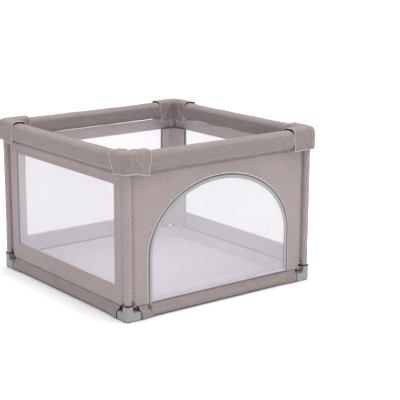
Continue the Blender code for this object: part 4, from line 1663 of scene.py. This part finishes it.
    def build_hem(self, start: float) -> None:
        """The folded net along the door's foot, and a dark strip under it: painted shadow of the gap at the
        door's foot.

        Args:
            start: inset of the binding's outer edge.
        """
        half = DOOR_HALF - start - self.binding + 0.002
        x = np.linspace(-half, half, 120)
        share = np.linspace(0, 1, 9)
        z = DOOR_BASE + 0.0035 + 0.014 * share[None, :] + 0.0015 * np.cos(x / half * math.pi / 2)[:, None]
        roll = 0.0012 * np.sin(share * math.pi)[None, :] * (1 + 0.5 * np.sin(x * 37)[:, None])
        plan = np.stack(np.broadcast_arrays(x[:, None], z), axis=-1)
        hem = thicken(surface("door_hem", self.flat(plan, 0.0002 + roll)), 0.0008)
        set_out(hem, "net hem", Body.DOOR)
        # a dark strip under the hem: painted shadow of the gap at the door's foot
        z = DOOR_BASE + 0.0004 + 0.0034 * share
        plan = np.stack(np.broadcast_arrays(x[:, None], z), axis=-1)
        grid = self.flat(plan, 0.0003 + 0.0006 * np.sin(share * math.pi)[None, :])
        tape = thicken(surface("door_foot_shadow_strip", grid), 0.0008)
        set_out(tape, "painted gap shadow", Body.DOOR)

    def build(self) -> None:
        """Makes the front wall, the zip and the door."""
        self.build_wall()
        self.build_zip()
        self.build_door()
        dress(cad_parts["zip_slider"], "slider enamel")
        dress(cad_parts["zip_pull"], "slider enamel")


# ---- Bottom sleeves, their black edgings, and the floor ----


@dataclass
class BottomSleeves:
    """The sleeves round the bottom rails, with black elastic at their ends and over the feet.

    Attributes:
        slope: how much further a sleeve reaches at its top than at the ground.
        belly: how much of the drop from seam to tube is filled out by the cloth.
        steps, section: points along a sleeve and round it.
        edging, welt: radii of the black edging and of the dark cord of painted shade along the seam.
        hem_height: height of the elastic hem round a socket.
    """

    slope: float = 0.006
    belly: float = 0.62
    steps: int = 170
    section: int = 60
    edging: float = 0.0015
    welt: float = 0.0009
    hem_height: float = 0.0046

    def half_width(self, z: Array, x: Array) -> Array:
        """How far the sleeve stands to each side of its plane at a height.

        Formula: the larger of a circle round the tube and a straight pull from the seam down to
        the tube's widest place; near the ends the circle grows into the box of the foot's arm.

        Args:
            z: heights.
            x: places along the rail.

        Returns:
            One distance for each point.
        """
        box = smooth_step(np.abs(x), BAND_END - 0.080, BAND_END - 0.004)
        radius = BAND_RADIUS + 0.0006 + (FOOT_HALF + 0.0012 - BAND_RADIUS) * box
        power = 2 + 3.2 * box
        rise = np.clip(np.abs(z - TUBE_HEIGHT) / radius, 0, 1)
        circle = radius * (1 - rise ** power) ** (1 / power)
        seam = 0.0016
        drop = np.clip((SEAM_TOP - z) / (SEAM_TOP - TUBE_HEIGHT - 0.004), 0, 1)
        fill = self.belly * (1 - 0.92 * bump(x, SLIDER_X, 0.016))
        pull = seam + (radius - seam) * (fill * drop + (1 - fill) * drop ** 4)
        pull = np.where(z > TUBE_HEIGHT, pull, 0)
        return np.maximum(np.maximum(circle, pull), np.where(z > TUBE_HEIGHT, seam, 0))

    def form(self, side: Side) -> Array:
        """One sleeve as a closed section carried along its rail.

        Formula: heights follow a cosine from the seam down the outer side and up the inner side;
        the ends lean by slope; soft waves and slanting folds near the ends wrinkle it.

        Args:
            side: the side.

        Returns:
            A grid of points, along the rail and round it.
        """
        low = TUBE_HEIGHT - BAND_RADIUS - 0.0008
        half_count = self.section // 2
        drop = (1 - np.cos(np.linspace(0, math.pi, half_count + 1))) / 2
        z_down = SEAM_TOP - (SEAM_TOP - low) * drop
        z_line = np.concatenate([z_down, z_down[-2:0:-1]])
        sign = np.concatenate([-np.ones(half_count + 1), np.ones(half_count - 1)])
        lean = self.slope * smooth_step(z_line, low, SEAM_TOP - 0.008)
        u = np.linspace(-1, 1, self.steps)
        u = np.sign(u) * np.abs(u) ** 0.9
        x = u[:, None] * (BAND_END + 0.0035 + lean[None, :])
        z = np.broadcast_to(z_line, x.shape)
        over_arm = smooth_step(np.abs(x), BAND_END - 0.080, BAND_END - 0.004)
        base = TUBE_HEIGHT + (z - TUBE_HEIGHT) * (1 + 0.14 * over_arm * (z < TUBE_HEIGHT))
        y = sign[None, :] * self.half_width(z, x)
        grid = np.stack([x, y, base], axis=-1)
        soft = 0.0006 * waves(grid * np.array([1, 1, 1.2]), 140 + side.turn, 0.05, 0.3)
        near_end = bump(np.abs(x), BAND_END - 0.03, 0.05)
        slant = 0.0006 * np.sin(grid[..., 0] * 170 + grid[..., 2] * 260) * near_end
        seam_free = smooth_step(SEAM_TOP - z, 0.0, 0.008)
        shift = (soft + slant) * seam_free
        grid[..., 1] += sign[None, :] * np.maximum(shift, -0.0006)
        return grid

    def build(self) -> None:
        """Makes the sleeves, the row of stitches and the dark cord of painted shade on each seam, and the
        black edgings.
        """
        for side in SIDES:
            local = self.form(side)
            sleeve = surface(f"rail_sleeve_{side.name}", side.to_world(local), ring=True)
            thicken(face_out(sleeve), 0.0011, -1.0)
            # the sleeves' cloth is the wall cloth darkened as painted shade
            set_out(sleeve, "band cloth", Body.PEN, (f"bottom_sleeve_{side.name}",))
            x = np.linspace(-BAND_END, BAND_END, 300)
            path = side.place(x, -0.0017, SEAM_TOP - 0.0022)
            row = stitches(f"seam_stitches_{side.name}", path, side.outward())
            set_out(row, "thread", Body.PEN)
            # a thin dark cord over the seam: painted shade of the crease there
            reach = self.slope + BAND_END
            x = np.linspace(-reach, reach, 200)
            path = side.place(x, -0.0018, SEAM_TOP + 0.0004)
            way = np.broadcast_to(side.outward(), path.shape)
            welt = cord_along(f"seam_welt_{side.name}", path, way, self.welt, loop=False, sides=6)
            set_out(welt, "seam cloth", Body.PEN)
            for end, row in (("start", 0), ("finish", -1)):
                ring = side.to_world(local[row])
                name = f"sleeve_edging_{side.name}_{end}"
                edging = cord_along(name, ring, ring - ring.mean(0), self.edging, loop=True, sides=6)
                set_out(edging, "elastic", Body.PEN)
        for corner in CORNERS:
            self.build_hem(corner)

    def build_hem(self, corner: Corner) -> None:
        """The black elastic hem of a post's sleeve, and the edging of the cut-outs on both walls.

        Args:
            corner: the corner.
        """
        height = self.hem_height
        z = SOCKET_TOP + 0.0024 + np.linspace(-height, 0, 6)
        bulge = FOOT_HALF + 0.0010 + 0.0005 * np.sin(np.linspace(0, math.pi, 6))
        wide, deep = rounded_box(ring_angles(40), 5.0)
        rings = np.broadcast_arrays(bulge[:, None] * wide, bulge[:, None] * deep, z[:, None])
        grid = np.stack(rings, axis=-1)
        hem = surface(f"post_hem_{corner.name}", corner.to_world(grid), ring=True)
        thicken(face_out(hem), 0.0008, -1.0)
        set_out(hem, "elastic", Body.PEN, (f"foot_binding_{corner.name}",))
        keys = np.array([
            [SLEEVE_RADIUS - 0.0035, WALL_LOW + 0.036],
            [SLEEVE_RADIUS + 0.0075, WALL_LOW + 0.022],
            [SLEEVE_RADIUS + 0.0205, WALL_LOW + 0.0065],
            [POST_X - BAND_END - 0.010, WALL_LOW],
        ])
        line = along(keys, 30)
        for arm, (a, b) in enumerate(((0, 1), (1, 0))):
            points = np.zeros((30, 3))
            points[:, a], points[:, 2] = line[:, 0], line[:, 1]
            side = np.zeros((30, 3))
            side[:, b] = -1.0
            name = f"cutout_edging_{corner.name}_{arm}"
            way = corner.turned(side)
            edging = cord_along(name, corner.to_world(points), way, self.edging, loop=False, sides=6)
            set_out(edging, "elastic", Body.PEN)
            self.build_strap(corner, arm)

    def build_strap(self, corner: Corner, arm: int) -> None:
        """The elastic strap from a sleeve's end to the post's hem, with its knot.

        Formula: a sagging line of points from the seam to the socket; its radius swells by a bell
        where the knot is.

        Args:
            corner: the corner.
            arm: 0 for the strap along x, 1 for y.
        """
        share = np.linspace(0, 1, 40)
        a, b = (0, 1) if arm == 0 else (1, 0)
        points = np.zeros((40, 3))
        points[:, a] = 0.050 + (FOOT_HALF + 0.001 - 0.050) * share
        points[:, b] = -0.0035 - 0.0150 * smooth_step(share, 0.1, 0.9)
        points[:, 2] = 0.0535 - 0.010 * np.sin(share * math.pi) + 0.010 * share
        way = np.zeros((40, 3))
        way[:, b] = -1.0
        radius = 0.0014 + 0.0030 * bump(share, 0.14, 0.10)
        name = f"elastic_strap_{corner.name}_{arm}"
        strap = cord_along(name, corner.to_world(points), corner.turned(way), radius, loop=False)
        set_out(strap, "elastic", Body.PEN)


@dataclass
class Floor:
    """The floor sheet, a shallow tray, and the padded mat on it.

    Attributes:
        sheet_thickness: the floor sheet's cloth.
        corner_cut: how far a corner of the sheet is cut back along each side.
        rows: points from the tray's rim to its middle.
        quilting: depth of the mat's soft hollows.
        steps: points across the mat.
    """

    sheet_thickness: float = 0.0012
    corner_cut: float = 0.050
    rows: int = 40
    quilting: float = 0.0016
    steps: int = 90

    def rim(self, inset: float, cut: float) -> Array:
        """A square with cut corners as a closed line of points, inset from the tray's edge.

        Args:
            inset: distance in from the tray's edge.
            cut: how far a corner is cut back.

        Returns:
            The line.
        """
        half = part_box("floor_sheet")[1].x - inset
        corners = np.array([[half, half - cut], [half - cut, half]])
        turn = np.array([[0, -1], [1, 0]])
        keys = [corners]
        for _ in range(3):
            keys.append(keys[-1] @ turn.T)
        keys = np.concatenate([*keys, corners[:1]])
        segments = [along(keys[i:i + 2], 12 if i % 2 == 0 else 44)[:-1] for i in range(8)]
        return np.concatenate(segments)

    def tray(self) -> Array:
        """The floor sheet.

        Formula: rims at growing insets; the height falls along a smooth step over the slope's
        width and then stays at the bottom; soft waves wrinkle the slope.

        Returns:
            A grid of points, from the rim inwards.
        """
        low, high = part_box("floor_sheet")[0].z + 0.001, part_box("floor_sheet")[1].z - 0.001
        slope, cut = 0.041, self.corner_cut
        level = np.linspace(slope + 0.01, 0.46, self.rows - 14)
        insets = np.concatenate([np.linspace(0, slope, 14), level])
        rings = []
        for inset in insets:
            ring = self.rim(inset, max(cut - inset * (2 - math.sqrt(2)), 0.004))
            height = high - (high - low) * min(inset / slope, 1.0)
            rings.append(np.concatenate([ring, np.full((len(ring), 1), height)], axis=-1))
        grid = np.stack(rings)
        wrinkle = waves(grid, 301, 0.06, 0.3)
        sloping = smooth_step(insets, 0.004, 0.02) * (insets < slope)
        grid[..., 2] += 0.0012 * wrinkle * sloping[:, None]
        return grid

    def mat(self) -> Array:
        """The mat's closed form.

        Formula: a square grid of directions (u, v) mapped to a rounded square, with a top and a
        bottom; its thickness falls off towards the edge as the fourth root of 1 - r^6.

        Returns:
            A grid of points, from the top's middle round the edge to the bottom's.
        """
        low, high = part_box("floor_mat")
        half, thick = high.x, high.z - low.z
        share = np.concatenate([np.linspace(0.02, 0.9, 26), 1 - 0.1 * (1 - np.linspace(0, 1, 12)[1:]) ** 2])
        ring = np.stack(rounded_box(ring_angles(160), 9.0), axis=-1)
        plan = half * share[:, None, None] * ring
        edge = np.clip(1 - share ** 14, 0, 1) ** 0.5
        flat = np.concatenate([plan, np.zeros((*plan.shape[:2], 1))], axis=-1)
        hollow = self.quilting * (waves(flat, 311, 0.12, 0.5) - 1.0) * edge[:, None]
        top = low.z + thick / 2 + thick / 2 * edge[:, None] + np.minimum(hollow, 0)
        bottom = np.broadcast_to(low.z + thick / 2 - thick / 2 * edge[:, None], top.shape)
        upper = np.concatenate([plan, top[..., None]], axis=-1)
        lower = np.concatenate([plan, bottom[..., None]], axis=-1)
        return np.concatenate([upper, lower[-2::-1]])

    def build_skirt(self, side: Side) -> None:
        """The floor cloth carried up inside a wall to its window's foot, with soft upright waves.

        Args:
            side: the side.
        """
        half = WINDOW_HALF + 0.018
        heights = np.linspace(SEAM_TOP + 0.001, WINDOW_LOW - 0.003, 12)
        x, z = np.meshgrid(np.linspace(-half, half, 120), heights, indexing="ij")
        ripple = waves(np.stack([x * 2.0, np.zeros_like(x), z * 0.6], axis=-1), 330 + side.turn, 0.08, 0.3)
        grid = side.place(x, 0.0046 + 0.0008 * ripple, z)
        skirt = thicken(surface(f"floor_skirt_{side.name}", grid), 0.0010)
        # painted light: the skirt's cloth is lighter than the mat to offset its shade
        set_out(skirt, "floor cloth", Body.PEN)

    def build(self) -> None:
        """Makes the tray, the skirts inside the walls and the mat."""
        grid = self.tray()
        sheet = face_out(surface("floor_tray", grid, ring=True, ends=(False, True)))
        thicken(sheet, self.sheet_thickness)
        # painted light: the tray's cloth is lighter than the mat to offset the shade on its slope
        set_out(sheet, "floor cloth", Body.PEN, ("floor_sheet",))
        for side in SIDES[1:]:
            self.build_skirt(side)
        mat = face_out(surface("padded_mat", self.mat(), ring=True, ends=(True, True)))
        set_out(mat, "mat cloth", Body.PEN, ("floor_mat",))


# ---- The frame's own pieces ----


class FramePieces:
    """The feet, grips, tubes and top corners, which keep their own meshes."""

    finishes = {
        "foot_grip": "grip rubber",
        "foot_": "foot plastic",
        "top_corner": "corner plastic",
        "post_": "tube enamel",
        "bottom_rail": "tube enamel",
        "top_rail": "tube enamel",
    }

    def build(self) -> None:
        """Dresses every frame piece that is still shown."""
        for name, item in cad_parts.items():
            finish = next((f for start, f in self.finishes.items() if name.startswith(start)), None)
            if finish and not name.startswith(("post_sleeve", "foot_binding")):
                dress(item, finish)
                LOG.info("%s keeps its mesh, %s", name, finish)


# ---- Studio ----


@dataclass(frozen=True)
class Studio:
    """A plain pale floor, soft lights and the camera.

    Attributes:
        eye: where the camera stands.
        azimuth, elevation: the way it looks from, in degrees.
        lens, sensor, shift: the camera's optics.
    """

    eye: tuple[float, float, float] = (-3.0588, -4.2239, 1.6204)
    azimuth: float = -36.703
    elevation: float = 13.738
    lens: float = 106.107
    sensor: float = 36.0
    shift: float = 0.075

    def build_camera(self) -> None:
        """The camera, turned so that it looks against its back vector."""
        data = bpy.data.cameras.new("camera")
        data.lens, data.sensor_width, data.shift_x = self.lens, self.sensor, self.shift
        data.clip_end = 60
        camera = bpy.data.objects.new("camera", data)
        a, e = math.radians(self.azimuth), math.radians(self.elevation)
        back = Vector((math.sin(a) * math.cos(e), -math.cos(a) * math.cos(e), math.sin(e)))
        camera.rotation_euler = back.to_track_quat("Z", "Y").to_euler()
        camera.location = self.eye
        bpy.context.scene.collection.objects.link(camera)
        bpy.context.scene.camera = camera

    def build_light(self, name: str, place: tuple[float, float, float], size: float, watts: float) -> None:
        """A square soft light that faces the pen's middle.

        Args:
            name: its name.
            place: where it hangs.
            size: length of its side.
            watts: its power.
        """
        data = bpy.data.lights.new(name, "AREA")
        data.size, data.energy = size, watts
        lamp = bpy.data.objects.new(name, data)
        lamp.location = place
        lamp.rotation_euler = (Vector(place) - Vector((0, 0, 0.3))).to_track_quat("Z", "Y").to_euler()
        bpy.context.scene.collection.objects.link(lamp)

    def build_ceiling(self) -> None:
        """A very wide light from above that reaches the whole floor evenly."""
        data = bpy.data.lights.new("ceiling", "SUN")
        data.energy, data.angle = 2.5, math.radians(70)
        lamp = bpy.data.objects.new("ceiling", data)
        lamp.rotation_euler = Vector((0.14, -0.06, 1.0)).to_track_quat("Z", "Y").to_euler()
        bpy.context.scene.collection.objects.link(lamp)

    def build(self) -> None:
        """Sets up the floor, the sky, the lights and the camera."""
        self.build_camera()
        reach = 30.0
        x, y = np.meshgrid([-reach, reach], [-reach, reach], indexing="ij")
        grid = np.stack([x, y, np.full_like(x, GROUND)], axis=-1)
        ground = new_object("studio_floor", grid, grid_faces(2, 2, False)[:, ::-1])
        material, nodes, shader = new_shader("studio floor", Roughness=0.9)
        shader.inputs["Base Color"].default_value = (0.93, 0.93, 0.93, 1)
        ground.data.materials.append(material)
        world = bpy.data.worlds.new("studio")
        bpy.context.scene.world = world
        world.use_nodes = True
        sky = Nodes(world.node_tree)
        sky.tree.nodes["Background"].inputs["Color"].default_value = (1.0, 1.0, 1.0, 1)
        seen = sky.add("ShaderNodeLightPath").outputs["Is Camera Ray"]
        strength = sky.math("MULTIPLY_ADD", seen, 0.4, 0.65)
        sky.tree.links.new(strength, sky.tree.nodes["Background"].inputs["Strength"])
        self.build_light("key", (3.2, -3.4, 3.6), 2.6, 24)
        self.build_ceiling()
        bpy.context.scene.view_settings.view_transform = "Standard"


def main() -> None:
    """Builds every sub-assembly in order."""
    logging.basicConfig(level=logging.INFO, format="%(message)s")
    Studio().build()
    RailPads().build()
    CornerCaps().build()
    walls = Walls()
    walls.build()
    Door(walls).build()
    BottomSleeves().build()
    Floor().build()
    FramePieces().build()


if __name__ == "__main__":
    main()
